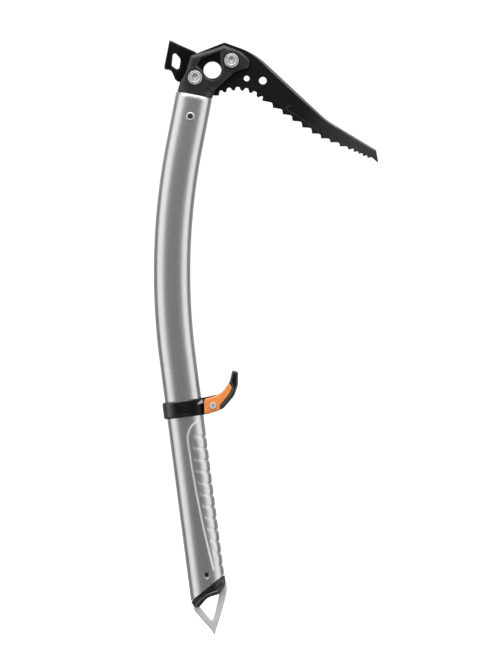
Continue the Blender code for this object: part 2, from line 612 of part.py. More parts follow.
def make_spike_pin(mat):
    end = SHAFT_THICK / 2 - 0.2
    hollow = [(0, 1.0 - end), (1.3, 1.0 - end), (1.3, -end)]
    body = [(SPIKE_PIN_RADIUS, -end), (SPIKE_PIN_RADIUS, end), (0, end)]
    add_object("spike_pin", turned(hollow + body, 20), mat, location=(SPIKE_PIN_AT[0], 0, SPIKE_PIN_AT[1]))


# ---------------------------------------------------------------- assembly
def add_empty(name, parent=None):
    empty = bpy.data.objects.new(name, None)
    bpy.context.scene.collection.objects.link(empty)
    empty.parent = parent
    return empty


def main():
    for obj in list(bpy.data.objects):
        bpy.data.objects.remove(obj)
    aluminium = material("satin_aluminium", (0.60, 0.61, 0.63), 0.35, 1.0)
    forged = material("forged_dark_steel", (0.055, 0.055, 0.058), 0.5, 0.6)
    blade = material("blackened_steel", (0.02, 0.02, 0.022), 0.45, 0.7)
    bright = material("bright_steel", (0.62, 0.62, 0.62), 0.3, 1.0)
    plastic = material("black_plastic", (0.02, 0.02, 0.02), 0.5)
    orange = material("orange_plastic", (0.85, 0.26, 0.05), 0.45)

    make_shaft(aluminium)
    make_head(forged)
    make_pick(blade)
    make_hammer(forged)
    for place, centre in (("front", FRONT_BOLT), ("rear", REAR_BOLT)):
        make_head_bolt(f"{place}_head_bolt", centre, bright)
        make_head_nut(f"{place}_head_nut", centre, bright)
    make_rivet(bright)

    rest = add_empty("handrest_frame")
    x, z = centre_at(REST_AT)
    rest.location = (x * MM, 0, z * MM)
    rest.rotation_euler = (0, -BOTTOM_LEAN, 0)
    make_band(plastic, rest)
    pivot = add_empty("lever_axis", rest)
    pivot.location = (PIN_AT[0] * MM, 0, PIN_AT[1] * MM)
    pivot.rotation_euler = (0, BOTTOM_LEAN, 0)     # the lever's pieces are drawn upright about the pin
    make_lever(orange, pivot)
    make_hook(plastic, pivot)
    make_pawl(bright, pivot)
    make_spring(bright, pivot)
    make_lever_pin(bright, pivot)
    make_pin_clip(bright, pivot)

    make_ferrule(plastic)
    make_spike(bright)
    make_spike_pin(bright)
    bpy.context.view_layer.update()


main()
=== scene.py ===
"""Looks of the technical ice axe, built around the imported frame.

Frame: metres, +Z up the shaft, +X towards the pick, -Y towards the camera.
Drawing sizes are in millimetres and become metres when a piece is finished.
"""
from itertools import product
from math import acos, ceil, copysign, cos, dist, exp, hypot, pi, radians, sin, sqrt, tan, tanh

import bmesh
import bpy
import numpy as np
from mathutils import Matrix, Vector


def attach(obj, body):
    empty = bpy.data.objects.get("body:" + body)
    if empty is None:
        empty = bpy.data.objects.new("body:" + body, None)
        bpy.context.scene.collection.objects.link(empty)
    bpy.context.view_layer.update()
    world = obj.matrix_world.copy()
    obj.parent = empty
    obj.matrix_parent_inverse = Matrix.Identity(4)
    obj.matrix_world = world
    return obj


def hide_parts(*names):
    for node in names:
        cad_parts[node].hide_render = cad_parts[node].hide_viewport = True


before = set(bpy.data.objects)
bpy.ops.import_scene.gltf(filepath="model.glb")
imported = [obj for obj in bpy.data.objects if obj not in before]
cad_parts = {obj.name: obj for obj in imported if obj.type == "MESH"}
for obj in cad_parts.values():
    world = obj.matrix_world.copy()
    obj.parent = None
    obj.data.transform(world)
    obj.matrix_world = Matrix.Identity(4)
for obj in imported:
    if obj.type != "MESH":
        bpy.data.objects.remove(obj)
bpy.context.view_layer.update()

MM = 0.001
GAP = 0.3  # running gap left between touching pieces
ARC_TOLERANCE = 0.015  # how far a chord may cut inside its arc

# Shaft: oval tube on a straight - bow - straight centreline
HALF_DEPTH, HALF_THICK, SHAFT_WALL = 16.0, 10.0, 1.6
OVAL_POWER = 2.5
BOW_RADIUS = 579.0
BOW_X, BOW_Z = -35.5, -178.0
TOP_LEAN = radians(11.0)
BOTTOM_LEAN = radians(7.45)
SHAFT_TOP, SHAFT_END = -157.7, 278.9
END_SKEW = 0.614
RIM = 0.4  # rounding of the tube's upper rim
PLUG = (HALF_DEPTH - SHAFT_WALL - GAP, HALF_THICK - SHAFT_WALL - GAP)  # what fits in the tube
RIDGE_START, RIDGE_PITCH, RIDGE_COUNT, RIDGE_DEPTH = 147.0, 10.31, 12, 1.15

# Head and its fasteners
CHEEK_HALF = 9.6
EYE_RADIUS = 7.9
RECESS_FLOOR = 8.4
BOSS_RADIUS, BOSS_RISE = 9.2, 0.5
BORE_RADIUS, BORE_FLOOR = 7.0, 8.7
FRONT_BOLT, REAR_BOLT = (16.8, 7.5), (-15.2, -7.4)
BOLT_HEAD_RADIUS, BOLT_HEAD_THICK = 6.45, 2.9
BOLT_RADIUS, SLEEVE_RADIUS = 3.0, 4.2
PICK_HALF = 2.0
FORK_EAR = 2.5
FACE_HALF, FACE_X, WAIST_X = 9.6, -36.0, -29.2
RIVET_AT, RIVET_FLANGE, RIVET_RADIUS, RIVET_BORE = (-19.3, -41.5), 4.0, 2.6, 2.2

# Handrest
REST_AT = 120.4
BAND_HEIGHT, BAND_WALL = 15.0, 2.4
PIN_AT = (25.4, -0.55)
PIN_RADIUS, PIN_HEAD_RADIUS = 2.1, 3.1
CHEEK_IN, CHEEK_OUT = 7.1, 9.9
EAR_IN, EAR_OUT = 2.3, 6.8
FORK_CLEARANCE = 12.2
SEAM_LOW = -3.2  # foot of the tongue that closes the seam under the hook
SLIDE = 0.15  # extra room in the band, to pass over the grip's raised lines

# Bottom end
SPIKE_HALF = 2.3
SPIKE_PIN_AT, SPIKE_PIN_RADIUS = (-5.0, -443.7), 2.0


# ---- outlines
def around(count):
    """Angles of evenly spaced points on a circle."""
    return [2 * pi * i / count for i in range(count)]


def arc(centre, radius, start, end, count):
    angles = [radians(start + (end - start) * i / count) for i in range(count + 1)]
    return [(centre[0] + radius * cos(a), centre[1] + radius * sin(a)) for a in angles]


def rounded(corners):
    """Closed outline through corners (x, z, radius), each corner turned into an arc."""
    points = []
    for i, (x, z, radius) in enumerate(corners):
        if radius <= 0:
            points.append((x, z))
            continue
        here = Vector((x, z))
        before = (Vector(corners[i - 1][:2]) - here).normalized()
        after = (Vector(corners[(i + 1) % len(corners)][:2]) - here).normalized()
        half = before.angle(after) / 2
        reach = radius / tan(half)
        centre = here + (before + after).normalized() * radius / sin(half)
        first = here + before * reach - centre
        turn = -(first.angle_signed(here + after * reach - centre))
        step = 2 * acos(1 - min(ARC_TOLERANCE / radius, 0.2))
        steps = ceil(abs(turn) / step)
        for k in range(steps + 1):
            points.append(tuple(centre + Matrix.Rotation(turn * k / steps, 2) @ first))
    return points


# ---- shaft centreline
def lean_at(s):
    return min(max(s / BOW_RADIUS, -TOP_LEAN), BOTTOM_LEAN)


def centre_at(s):
    lean = lean_at(s)
    beyond = s - lean * BOW_RADIUS
    x = BOW_X + BOW_RADIUS * (1 - cos(lean)) + beyond * sin(lean)
    z = BOW_Z - BOW_RADIUS * sin(lean) - beyond * cos(lean)
    return x, z


def on_shaft(s, across, depth):
    x, z = centre_at(s)
    lean = lean_at(s)
    return (x + across * cos(lean), depth, z + across * sin(lean))


def shaft_frame(s, x, z):
    """Distance along the centreline, straight on from s, and place across it."""
    x0, z0 = centre_at(s)
    c, d = cos(lean_at(s)), sin(lean_at(s))
    return s + (x - x0) * d - (z - z0) * c, (x - x0) * c + (z - z0) * d


# ---- meshes
def new_object(name, data):
    obj = bpy.data.objects.new(name, data)
    bpy.context.scene.collection.objects.link(obj)
    return obj


def mesh_object(name, bm):
    bmesh.ops.recalc_face_normals(bm, faces=bm.faces)
    mesh = bpy.data.meshes.new(name)
    bm.to_mesh(mesh)
    bm.free()
    return new_object(name, mesh)


def loft(rings, closed=False):
    """Skin through rings of equal length: capped flat, or closed on itself."""
    bm = bmesh.new()
    rows = [[bm.verts.new(p) for p in ring] for ring in rings]
    if closed:
        rows.append(rows[0])
    count = len(rings[0])
    for upper, lower in zip(rows, rows[1:]):
        for i in range(count):
            j = (i + 1) % count
            bm.faces.new((upper[i], upper[j], lower[j], lower[i]))
    if not closed:
        bm.faces.new(rows[0])
        bm.faces.new(reversed(rows[-1]))
    return bm


def turned(profile, steps):
    """Profile of (radius, y) pairs turned about the Y axis; end radii of zero close it."""
    bm = bmesh.new()
    rings = []
    for r, y in profile:
        angles = around(steps) if r else [0.0]
        rings.append([bm.verts.new((r * cos(a), y, r * sin(a))) for a in angles])
    for one, two in zip(rings, rings[1:]):
        for i in range(steps):
            j = (i + 1) % steps
            corners = [one[i % len(one)], one[j % len(one)], two[j % len(two)], two[i % len(two)]]
            bm.faces.new(list(dict.fromkeys(corners)))
    return bm


def through_hole(centre, radius, half, rim, steps):
    """Tool for a hole through a plate twice half thick, with its rims bevelled."""
    beyond, flare = half + 2, radius + rim + 2
    tool = turned([(0, -beyond), (flare, -beyond), (radius, rim - half), (radius, half - rim),
                   (flare, beyond), (0, beyond)], steps)
    bmesh.ops.translate(tool, vec=(centre[0], 0, centre[1]), verts=tool.verts)
    return tool


def subtract(obj, bm):
    """Cut a shape out of obj at once, leaving a plain mesh."""
    tool = mesh_object("tool", bm)
    step = obj.modifiers.new("step", "BOOLEAN")
    step.operation = "DIFFERENCE"
    step.solver = "EXACT"
    step.object = tool
    bpy.context.view_layer.update()
    deps = bpy.context.evaluated_depsgraph_get()
    mesh = bpy.data.meshes.new_from_object(obj.evaluated_get(deps))
    obj.modifiers.clear()
    obj.data = mesh
    bpy.data.objects.remove(tool)


def mark(obj, name, value):
    """Store value(x, y, z) of each point, drawn in millimetres, for the material to read."""
    points = np.empty(len(obj.data.vertices) * 3, np.float32)
    obj.data.vertices.foreach_get("co", points)
    x, y, z = points.reshape(-1, 3).T.astype(float)
    layer = obj.data.attributes.new(name, "FLOAT", "POINT")
    layer.data.foreach_set("value", value(x, y, z).astype(np.float32))


def finish(obj, body, material, node, at=(0, 0), sharp=38):
    """Metres, shading, material, body, the CAD node it stands for, and its place (x, z)."""
    obj.data.transform(Matrix.Scale(MM, 4))
    obj.location = Vector((at[0], 0, at[1])) * MM
    obj.data.materials.clear()
    obj.data.materials.append(material)
    obj.data.shade_smooth()
    obj.data.set_sharp_from_angle(angle=radians(sharp))
    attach(obj, body)
    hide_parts(node)


# ---- solid fields
# A field is negative inside the metal; arrays run along x, z, y.
def path_distance(points, x, z):
    best = np.full(np.broadcast(x, z).shape, 1e9)
    for (x0, z0), (x1, z1) in zip(points, points[1:]):
        ex, ez = x1 - x0, z1 - z0
        t = np.clip(((x - x0) * ex + (z - z0) * ez) / (ex * ex + ez * ez + 1e-12), 0, 1)
        best = np.minimum(best, (x - x0 - t * ex) ** 2 + (z - z0 - t * ez) ** 2)
    return np.sqrt(best)


def polygon(points, x, z):
    closed = points + points[:1]
    inside = np.zeros(np.broadcast(x, z).shape, bool)
    for (x0, z0), (x1, z1) in zip(closed, closed[1:]):
        if abs(z1 - z0) > 1e-9:
            inside ^= ((z0 > z) != (z1 > z)) & (x < x0 + (z - z0) * (x1 - x0) / (z1 - z0))
    return np.where(inside, -1, 1) * path_distance(closed, x, z)


def oval(u, v, half_depth, half_thick):
    power = (abs(u / half_depth) ** OVAL_POWER + abs(v / half_thick) ** OVAL_POWER) ** (1 / OVAL_POWER)
    return (power - 1) * np.minimum(half_depth, half_thick)


def both(a, b, soft=0.0):
    """Where a and b are both solid, with the edge between them rounded."""
    if not soft:
        return np.maximum(a, b)
    h = np.maximum(soft - abs(a - b), 0) / soft
    return np.maximum(a, b) + h * h * soft / 4


def either(a, b, soft=0.0):
    return -both(-a, -b, soft)


def cut(a, b, soft=0.0):
    return both(a, -b, soft)


def chamfered(side, face, width, depth, soft=0.5):
    """Plate whose edge is cut back by width on its face and depth on its side."""
    slope = ((side + width) * depth + face * width) / hypot(width, depth)
    return both(both(side, face, soft * 0.5), slope, soft)


def circle(centre, radius, x, z):
    return np.hypot(x - centre[0], z - centre[1]) - radius


def surface_net(values, low, step):
    """Quad mesh of a field's zero level: one point per crossed cell."""
    inside = values < 0
    a, b, c = [n - 1 for n in values.shape]
    total = sum(inside[i:i + a, j:j + b, k:k + c].astype(int) for i, j, k in product((0, 1), repeat=3))
    active = (total > 0) & (total < 8)
    cells = np.argwhere(active)
    index = np.full(active.shape, -1)
    index[active] = np.arange(len(cells))
    sums, counts = np.zeros((len(cells), 3)), np.zeros(len(cells))
    for axis, p, q in product(range(3), (0, 1), (0, 1)):
        one = cells.copy()
        one[:, [n for n in range(3) if n != axis]] += (p, q)
        two = one.copy()
        two[:, axis] += 1
        va, vb = values[tuple(one.T)], values[tuple(two.T)]
        hit = (va < 0) != (vb < 0)
        point = one.astype(float)
        point[:, axis] += va / np.where(hit, va - vb, 1)
        sums += point * hit[:, None]
        counts += hit
    points = np.asarray(low) + sums / counts[:, None] * step
    quads = []
    for axis in range(3):
        across = [(axis + 1) % 3, (axis + 2) % 3]
        lower, upper = [slice(1, -1)] * 3, [slice(1, -1)] * 3
        lower[axis], upper[axis] = slice(0, -1), slice(1, None)
        a, b = inside[tuple(lower)], inside[tuple(upper)]
        base = np.argwhere(a != b)
        base[:, across] += 1
        corners = []
        for back in ((1, 1), (0, 1), (0, 0), (1, 0)):
            corner = base.copy()
            corner[:, across] -= back
            corners.append(index[tuple(corner.T)])
        quad = np.stack(corners, axis=1)
        flip = a[a != b]
        quad[flip] = quad[flip][:, ::-1]
        quads.append(quad)
    return points[:, [0, 2, 1]], np.concatenate(quads)


def carve(name, low, high, step, field, extra=None):
    """Object from a field over a box given as (x, z, y) corners; extra is a bmesh joined to it."""
    axes = [np.arange(a, b + step, step) for a, b in zip(low, high)]
    x, z, y = np.meshgrid(*axes, indexing="ij", sparse=True)
    points, quads = surface_net(field(x, z, y), low, step)
    mesh = bpy.data.meshes.new(name)
    mesh.from_pydata(points.tolist(), [], quads.tolist())
    bm = extra or bmesh.new()
    bm.from_mesh(mesh)
    bpy.data.meshes.remove(mesh)
    return mesh_object(name, bm)


# ---- materials
def rgba(colour):
    """A socket as it is, or a triple or one grey value made opaque."""
    if isinstance(colour, float):
        colour = (colour,) * 3
    return (*colour, 1.0) if isinstance(colour, tuple) else colour


class Nodes:
    """A node tree whose nodes are added, set and linked by short calls."""

    def __init__(self, tree):
        self.tree = tree

    def put(self, sockets, values):
        """Link an output to each named socket, or set the socket's own value."""
        for key, value in values.items():
            if isinstance(value, bpy.types.NodeSocket):
                self.tree.links.new(value, sockets[key])
            else:
                sockets[key].default_value = value

    def add(self, kind, inputs=None, **props):
        node = self.tree.nodes.new("ShaderNode" + kind)
        for key, value in props.items():
            setattr(node, key, value)
        self.put(node.inputs, inputs or {})
        return node

    def ramp(self, value, low, high, a=0.0, b=1.0):
        return self.add("MapRange", {
            "Value": value, "From Min": low, "From Max": high, "To Min": a, "To Max": b}).outputs["Result"]


class Shader(Nodes):
    """A material's nodes; its coordinates are millimetres."""

    def __init__(self, name, metallic=0.0):
        self.material = bpy.data.materials.new(name)
        self.material.use_nodes = True
        super().__init__(self.material.node_tree)
        self.feed(Metallic=metallic)
        self.mm = self.mapped(self.add("TexCoord").outputs["Object"], Scale=(1.0 / MM,) * 3)

    def feed(self, **values):
        """Set or link sockets of the Principled shader."""
        named = {key.replace("_", " "): value for key, value in values.items()}
        self.put(self.tree.nodes["Principled BSDF"].inputs, named)

    def mapped(self, vector, **inputs):
        return self.add("Mapping", {"Vector": vector, **inputs}).outputs["Vector"]

    def noise(self, per_mm, detail=3.0, rough=0.55, stretch=None, vector=None):
        source = vector or self.mm
        if stretch:
            source = self.mapped(source, Scale=stretch)
        return self.add("TexNoise", {
            "Vector": source, "Scale": per_mm, "Detail": detail, "Roughness": rough}).outputs["Fac"]

    def math(self, operation, a, b=0.0):
        return self.add("Math", {0: a, 1: b}, operation=operation).outputs[0]

    def times(self, a, b):
        return self.math("MULTIPLY", a, b)

    def mix(self, factor, a, b):
        inputs = {"Factor": factor, 6: rgba(a), 7: rgba(b)}
        return self.add("Mix", inputs, data_type="RGBA").outputs[2]

    def marked(self, name):
        return self.add("Attribute", attribute_name=name).outputs["Fac"]

    def worn(self, per_mm, low, high):
        """1 on patches of the convex edges, 0 elsewhere."""
        point = self.add("NewGeometry").outputs["Pointiness"]
        return self.times(self.ramp(point, 0.51, 0.56), self.ramp(self.noise(per_mm, 4.0, 0.7), low, high))

    def sheen(self, facing, sloped, start=0.02, full=0.16):
        """Specular level: one value on faces seen square on, rising to another on sloped ones."""
        turned_away = self.add("LayerWeight", {"Blend": 0.5}).outputs["Facing"]
        return self.ramp(turned_away, start, full, facing, sloped)

    def scratches(self, angle, amount, *more):
        """Thin sparse marks running one way; further pairs add marks running other ways."""
        turned_to = self.mapped(self.mm, Rotation=(0.3, angle, 0.1))
        marks = self.ramp(self.noise(0.9, 2.0, 0.5, (1.0, 1.0, 0.035), turned_to), amount, amount + 0.05)
        return self.math("MAXIMUM", marks, self.scratches(*more)) if more else marks

    def bump(self, height, strength, distance, normal=None):
        inputs = {"Height": height, "Strength": strength, "Distance": distance * MM}
        if normal:
            inputs["Normal"] = normal
        return self.add("Bump", inputs).outputs["Normal"]

    def done(self, colour, roughness, normal):
        self.feed(Base_Color=colour, Roughness=roughness, Normal=normal)
        return self.material


def satin_aluminium():
    m = Shader("satin_aluminium", 1.0)
    grain = m.noise(1.15, 4.0, 0.7)
    colour = m.mix(m.ramp(grain, 0.32, 0.68), (0.50, 0.505, 0.515), (0.66, 0.665, 0.675))
    cloud = m.ramp(m.noise(0.035, 2.0, 0.5), 0.35, 0.65, 0.0, 0.25)
    colour = m.mix(cloud, colour, (0.63, 0.635, 0.64))
    rub = m.scratches(0.35, 0.76, -0.9, 0.78)
    colour = m.mix(m.times(rub, 0.3), colour, (0.8, 0.8, 0.81))
    # Painted highlight: the crests of the grip's raised lines are painted near white, less metallic and
    # rougher.
    line_highlight = m.marked("line_highlight")
    colour = m.mix(line_highlight, colour, (0.95, 0.95, 0.96))
    m.feed(Metallic=m.ramp(line_highlight, 0.0, 1.0, 1.0, 0.15))
    rough = m.ramp(m.noise(0.5, 3.0, 0.6), 0.3, 0.7, 0.29, 0.37)
    rough = m.math("SUBTRACT", rough, m.times(rub, 0.08))
    rough = m.math("ADD", rough, m.times(line_highlight, 0.12))
    normal = m.bump(m.noise(2.6, 3.0, 0.7), 0.35, 0.035)
    return m.done(colour, rough, m.bump(rub, 0.25, -0.02, normal))


def forged_coating(name, low, high, edge, sheen):
    """Dark coat over a forging: orange peel, dusty patches, edges worn lighter, and painted shade deep in the
    pocket round the eye.
    """
    m = Shader(name, 0.3)
    grain = m.noise(1.4, 3.0, 0.65)
    colour = m.mix(m.ramp(m.noise(0.16, 4.0, 0.6), 0.35, 0.65), low, high)
    colour = m.mix(m.ramp(grain, 0.45, 0.75, 0.0, 0.35), colour, tuple(1.5 * c for c in high))
    worn = m.worn(0.5, 0.35, 0.6)
    colour = m.mix(m.times(worn, 0.6), colour, edge)
    nick = m.scratches(0.8, 0.75, -0.4, 0.76)
    colour = m.mix(m.times(nick, 0.3), colour, edge)
    # Painted shade: where marked deep, in the pocket round the eye, the coat is painted near black and made
    # less metallic, less shiny and rougher.
    deep = m.marked("deep")
    colour = m.mix(deep, colour, 0.003)
    m.feed(Metallic=m.ramp(deep, 0.0, 1.0, 0.3, 0.0),
           Specular_IOR_Level=m.times(m.sheen(*sheen), m.ramp(deep, 0.0, 1.0, 1.0, 0.1)))
    rough = m.math("SUBTRACT", m.ramp(grain, 0.3, 0.7, 0.34, 0.44), m.times(worn, 0.1))
    rough = m.math("ADD", rough, m.times(deep, 0.25))
    return m.done(colour, rough, m.bump(grain, 0.25, 0.03, m.bump(m.noise(0.9, 3.0, 0.6), 0.30, 0.06)))


def blade_steel():
    """Blackened plate: brushed along the blade, ground lighter towards the tip."""
    m = Shader("blackened_plate", 0.55)
    m.feed(Specular_IOR_Level=0.3)
    tip = m.ramp(m.add("SeparateXYZ", {"Vector": m.mm}).outputs["X"], 78.0, 128.0)
    along = m.mapped(m.mm, Rotation=(0, radians(-38), 0))
    brush = m.noise(1.1, 4.0, 0.7, (0.12, 1.0, 1.6), along)
    speck = m.noise(2.2, 3.0, 0.7)
    colour = m.mix(m.ramp(speck, 0.4, 0.7), 0.006, (0.011, 0.011, 0.012))
    ground = m.mix(m.ramp(brush, 0.35, 0.65), (0.038, 0.038, 0.036), (0.070, 0.070, 0.066))
    colour = m.mix(tip, colour, ground)
    nick = m.scratches(0.7, 0.74, -0.5, 0.76)
    colour = m.mix(m.times(nick, 0.3), colour, 0.12)
    rough = m.ramp(brush, 0.3, 0.7, 0.40, 0.52)
    return m.done(colour, rough, m.bump(speck, 0.3, 0.02, m.bump(brush, 0.2, 0.02)))


def ground_edge():
    """Bare steel where an edge has been ground."""
    m = Shader("ground_edge", 0.9)
    brush = m.noise(1.6, 4.0, 0.7, (0.15, 1.0, 1.0))
    colour = m.mix(m.ramp(brush, 0.35, 0.65), (0.055, 0.055, 0.053), (0.115, 0.115, 0.112))
    return m.done(colour, m.ramp(brush, 0.3, 0.7, 0.34, 0.46), m.bump(brush, 0.25, 0.02))


def plated_steel(name, low, high, rough, rings, metallic):
    """Turned and plated: fine rings about the piece's own Y axis and small blooms."""
    m = Shader(name, metallic)
    flat = m.add("VectorMath", {0: m.mm, 1: (1, 0, 1)}, operation="MULTIPLY").outputs[0]
    radius = m.add("VectorMath", {0: flat}, operation="LENGTH").outputs["Value"]
    wobble = m.math("ADD", m.times(radius, rings * 6.283), m.times(m.noise(0.8), 3.0))
    lathe = m.ramp(m.math("SINE", wobble), -1.0, 1.0)
    bloom = m.noise(0.9, 4.0, 0.65)
    colour = m.mix(m.ramp(bloom, 0.35, 0.65), low, high)
    colour = m.mix(m.times(lathe, 0.12), colour, 0.4)
    roughness = m.math("ADD", m.ramp(bloom, 0.3, 0.7, *rough), m.times(lathe, 0.05))
    return m.done(colour, roughness, m.bump(lathe, 0.12, 0.02, m.bump(bloom, 0.2, 0.02)))


def brushed_steel():
    """Spike: bead blasted plate with faint cross brushing."""
    m = Shader("brushed_spike", 0.2)
    brush = m.noise(1.3, 4.0, 0.7, (0.25, 1.0, 1.6))
    speck = m.noise(2.4, 3.0, 0.7)
    colour = m.mix(m.ramp(brush, 0.35, 0.65), (0.70, 0.70, 0.69), (0.76, 0.76, 0.75))
    nick = m.scratches(0.9, 0.72, -0.7, 0.74)
    colour = m.mix(m.times(nick, 0.3), colour, (0.62, 0.62, 0.61))
    rough = m.ramp(speck, 0.3, 0.7, 0.46, 0.58)
    return m.done(colour, rough, m.bump(brush, 0.2, 0.025, m.bump(speck, 0.25, 0.02)))


def moulded_plastic(name, low, high, edge, sheen):
    """Spark textured plastic with scuffed edges, and a painted highlight where a glint is marked."""
    m = Shader(name)
    m.feed(Specular_IOR_Level=m.times(m.sheen(*sheen), m.ramp(m.marked("matt"), 0.0, 1.0, 1.0, 0.2)))
    grain = m.noise(3.0, 2.0, 0.6)
    colour = m.mix(m.ramp(m.noise(0.12, 3.0, 0.6), 0.35, 0.65), low, high)
    colour = m.mix(m.times(m.worn(0.7, 0.4, 0.65), 0.35), colour, edge)
    # Painted highlight: a light grey patch where the band's glint triangle is marked.
    colour = m.mix(m.marked("painted_glint"), colour, 0.62)
    scuff = m.scratches(0.5, 0.74)
    colour = m.mix(m.times(scuff, 0.2), colour, edge)
    rough = m.math("ADD", m.ramp(grain, 0.3, 0.7, 0.34, 0.44), m.times(scuff, 0.08))
    return m.done(colour, rough, m.bump(m.noise(0.5, 2.0, 0.5), 0.12, 0.08, m.bump(grain, 0.25, 0.03)))


# ---- shaft
AROUND = 232  # points round the tube
FINE_FROM, FINE_STEP, FINE_COUNT = 128, 0.45, 312  # sections close enough to carry the grip's relief
LINE_TURN, LINE_LOW = 149.0, 264.0  # where the grip's border runs straight, and where it ends
LINE_WIDTH, LINE_RISE = 0.62, 0.22
LINE_INSET, LINE_HIGH = -0.4, 10.7  # its place across the shaft there, and where it fades
LINE_SLOPE, LINE_BEND = 0.0136, 0.000444  # how it drifts across on the way down
TURN_WIDE, TURN_TALL = 17.0, 18.0  # half axes of its upper turn
VALLEY_START, VALLEY_LATE, VALLEY_TILT = 3.0, 3.3, 0.13
VALLEY_TICK, VALLEY_WIDTH, VALLEY_SHARE = 1.9, 0.48, 0.38


def border_across(s):
    """Where the raised border of the grip lies across the shaft."""
    return LINE_INSET + LINE_SLOPE * (s - LINE_TURN) + LINE_BEND * (s - LINE_TURN) ** 2


def border_distance(s, across):
    """Distance from a place on the skin to the grip's border line."""
    if s >= LINE_TURN:
        low = max(s - LINE_LOW, 0.0)
        slope = LINE_SLOPE + 2 * LINE_BEND * (s - LINE_TURN)
        return hypot((across - border_across(min(s, LINE_LOW))) / hypot(1, slope), low)
    u = (across - (LINE_INSET + TURN_WIDE)) / TURN_WIDE
    w = (s - LINE_TURN) / TURN_TALL
    reach = hypot(u, w)
    aside = abs(reach - 1) * TURN_WIDE * TURN_TALL / hypot(TURN_TALL * u, TURN_WIDE * w + 1e-9) * reach
    return hypot(aside, max(across - LINE_HIGH, 0.0))


def tilted(s, across):
    """Place along the shaft measured down lines that tilt with the finger valleys."""
    return s - VALLEY_TILT * (across - 12.5)


def valley_distance(s, across):
    """Distance to the thin raised line in the nearest finger valley, with its tick at the border's end."""
    s = tilted(s, across)
    place = min(max(round((s - RIDGE_START) / RIDGE_PITCH), 0), RIDGE_COUNT - 1)
    level = RIDGE_START + place * RIDGE_PITCH
    start = border_across(max(level, LINE_TURN)) + VALLEY_START + VALLEY_LATE * exp(-1.1 * place)
    along = hypot(max(start - across, 0.0), s - level)
    tick = hypot(across - start, max(s - level, 0.0) + max(level - VALLEY_TICK - s, 0.0))
    return min(along, tick)


def line_height(s, across):
    """1 on the crest of the raised lines of the grip, falling to 0 beside them."""
    if not FINE_FROM < s < LINE_LOW + 4:
        return 0.0
    border = exp(-((border_distance(s, across) / LINE_WIDTH) ** 2))
    valley = exp(-((valley_distance(s, across) / VALLEY_WIDTH) ** 2))
    return max(border, VALLEY_SHARE * valley)


def skin_offset(s, across):
    """How far the outer skin stands out from the plain oval, negative inwards."""
    out = LINE_RISE * line_height(s, across)
    first, last = RIDGE_START - RIDGE_PITCH / 2, RIDGE_START + (RIDGE_COUNT - 0.5) * RIDGE_PITCH
    if first < tilted(s, across) < last:
        phase = (tilted(s, across) - RIDGE_START) / RIDGE_PITCH
        valley = (1 - abs(sin(pi * phase))) ** 2.2
        start = border_across(max(s, LINE_TURN)) + 2.4
        reach = min(max((across - start) / 3.0, 0.0), 1.0)
        deep = min(max((across - start) / (HALF_DEPTH - start), 0.0), 1.0)
        out -= RIDGE_DEPTH * valley * reach * reach * (3 - 2 * reach) * (0.1 + 0.9 * deep ** 1.8)
    return out


def shaft_ring(s, half_depth, half_thick, skew=0.0, skinned=False, count=AROUND):
    """Oval section, slanted by skew; a skinned one carries the grip's relief."""
    ring = []
    for angle in around(count):
        c, d = cos(angle), sin(angle)
        across = copysign(abs(c) ** (2 / OVAL_POWER), c) * half_depth
        depth = copysign(abs(d) ** (2 / OVAL_POWER), d) * half_thick
        if skinned:
            nx = copysign(abs(across / half_depth) ** (OVAL_POWER - 1), across) / half_depth
            ny = copysign(abs(depth / half_thick) ** (OVAL_POWER - 1), depth) / half_thick
            out = skin_offset(s, across) / hypot(nx, ny)
            across, depth = across + out * nx, depth + out * ny
        ring.append(on_shaft(s - skew * across, across, depth))
    return ring


def make_shaft(material):
    outer = (HALF_DEPTH, HALF_THICK)
    start = SHAFT_TOP + GAP
    upper = [start + (FINE_FROM - start) * i / 60 for i in range(60)]
    upper[0] += RIM
    fine = [FINE_FROM + FINE_STEP * i for i in range(FINE_COUNT)]
    rings = [shaft_ring(start, outer[0] - RIM, outer[1] - RIM)]
    rings += [shaft_ring(s, *outer, skinned=True) for s in upper + fine]
    for part in (0.2, 0.4, 0.6, 0.8, 1.0):
        rings.append(shaft_ring(fine[-1] + (SHAFT_END - fine[-1]) * part, *outer, END_SKEW * part))
    bore = (outer[0] - SHAFT_WALL, outer[1] - SHAFT_WALL)
    rings.append(shaft_ring(SHAFT_END, *bore, END_SKEW))
    rings += [shaft_ring(fine[-1] + (start - fine[-1]) * i / 24, *bore) for i in range(25)]
    shaft = mesh_object("shaft_tube", loft(rings, closed=True))
    for centre, radius in ((RIVET_AT, RIVET_RADIUS + GAP), (SPIKE_PIN_AT, SPIKE_PIN_RADIUS + GAP)):
        subtract(shaft, through_hole(centre, radius, outer[1], 0.45, 48))
    # painted highlight along the grip's raised lines
    mark(shaft, "line_highlight", border_line_highlight)
    finish(shaft, "axe", material, "shaft", sharp=50)


def border_line_highlight(x, y, z):
    """1 on the crest of the raised lines, where a highlight is painted."""
    s, across = shaft_frame(SHAFT_END, x, z)
    outer = oval(across, y, HALF_DEPTH, HALF_THICK) > -0.8
    return np.array([line_height(a, b) for a, b in zip(s, across)]) * outer


# ---- head
def recess_outline():
    return rounded([(-15.4, 3.87, 2.5), (-10.5, 10.6, 4.0), (8.2, 17.4, 1.5), (8.6, -1.5, 6.0),
                    (6.0, -8.2, 4.0), (0.6, -11.2, 3.0), (-3.4, -8.13, 3.0)])


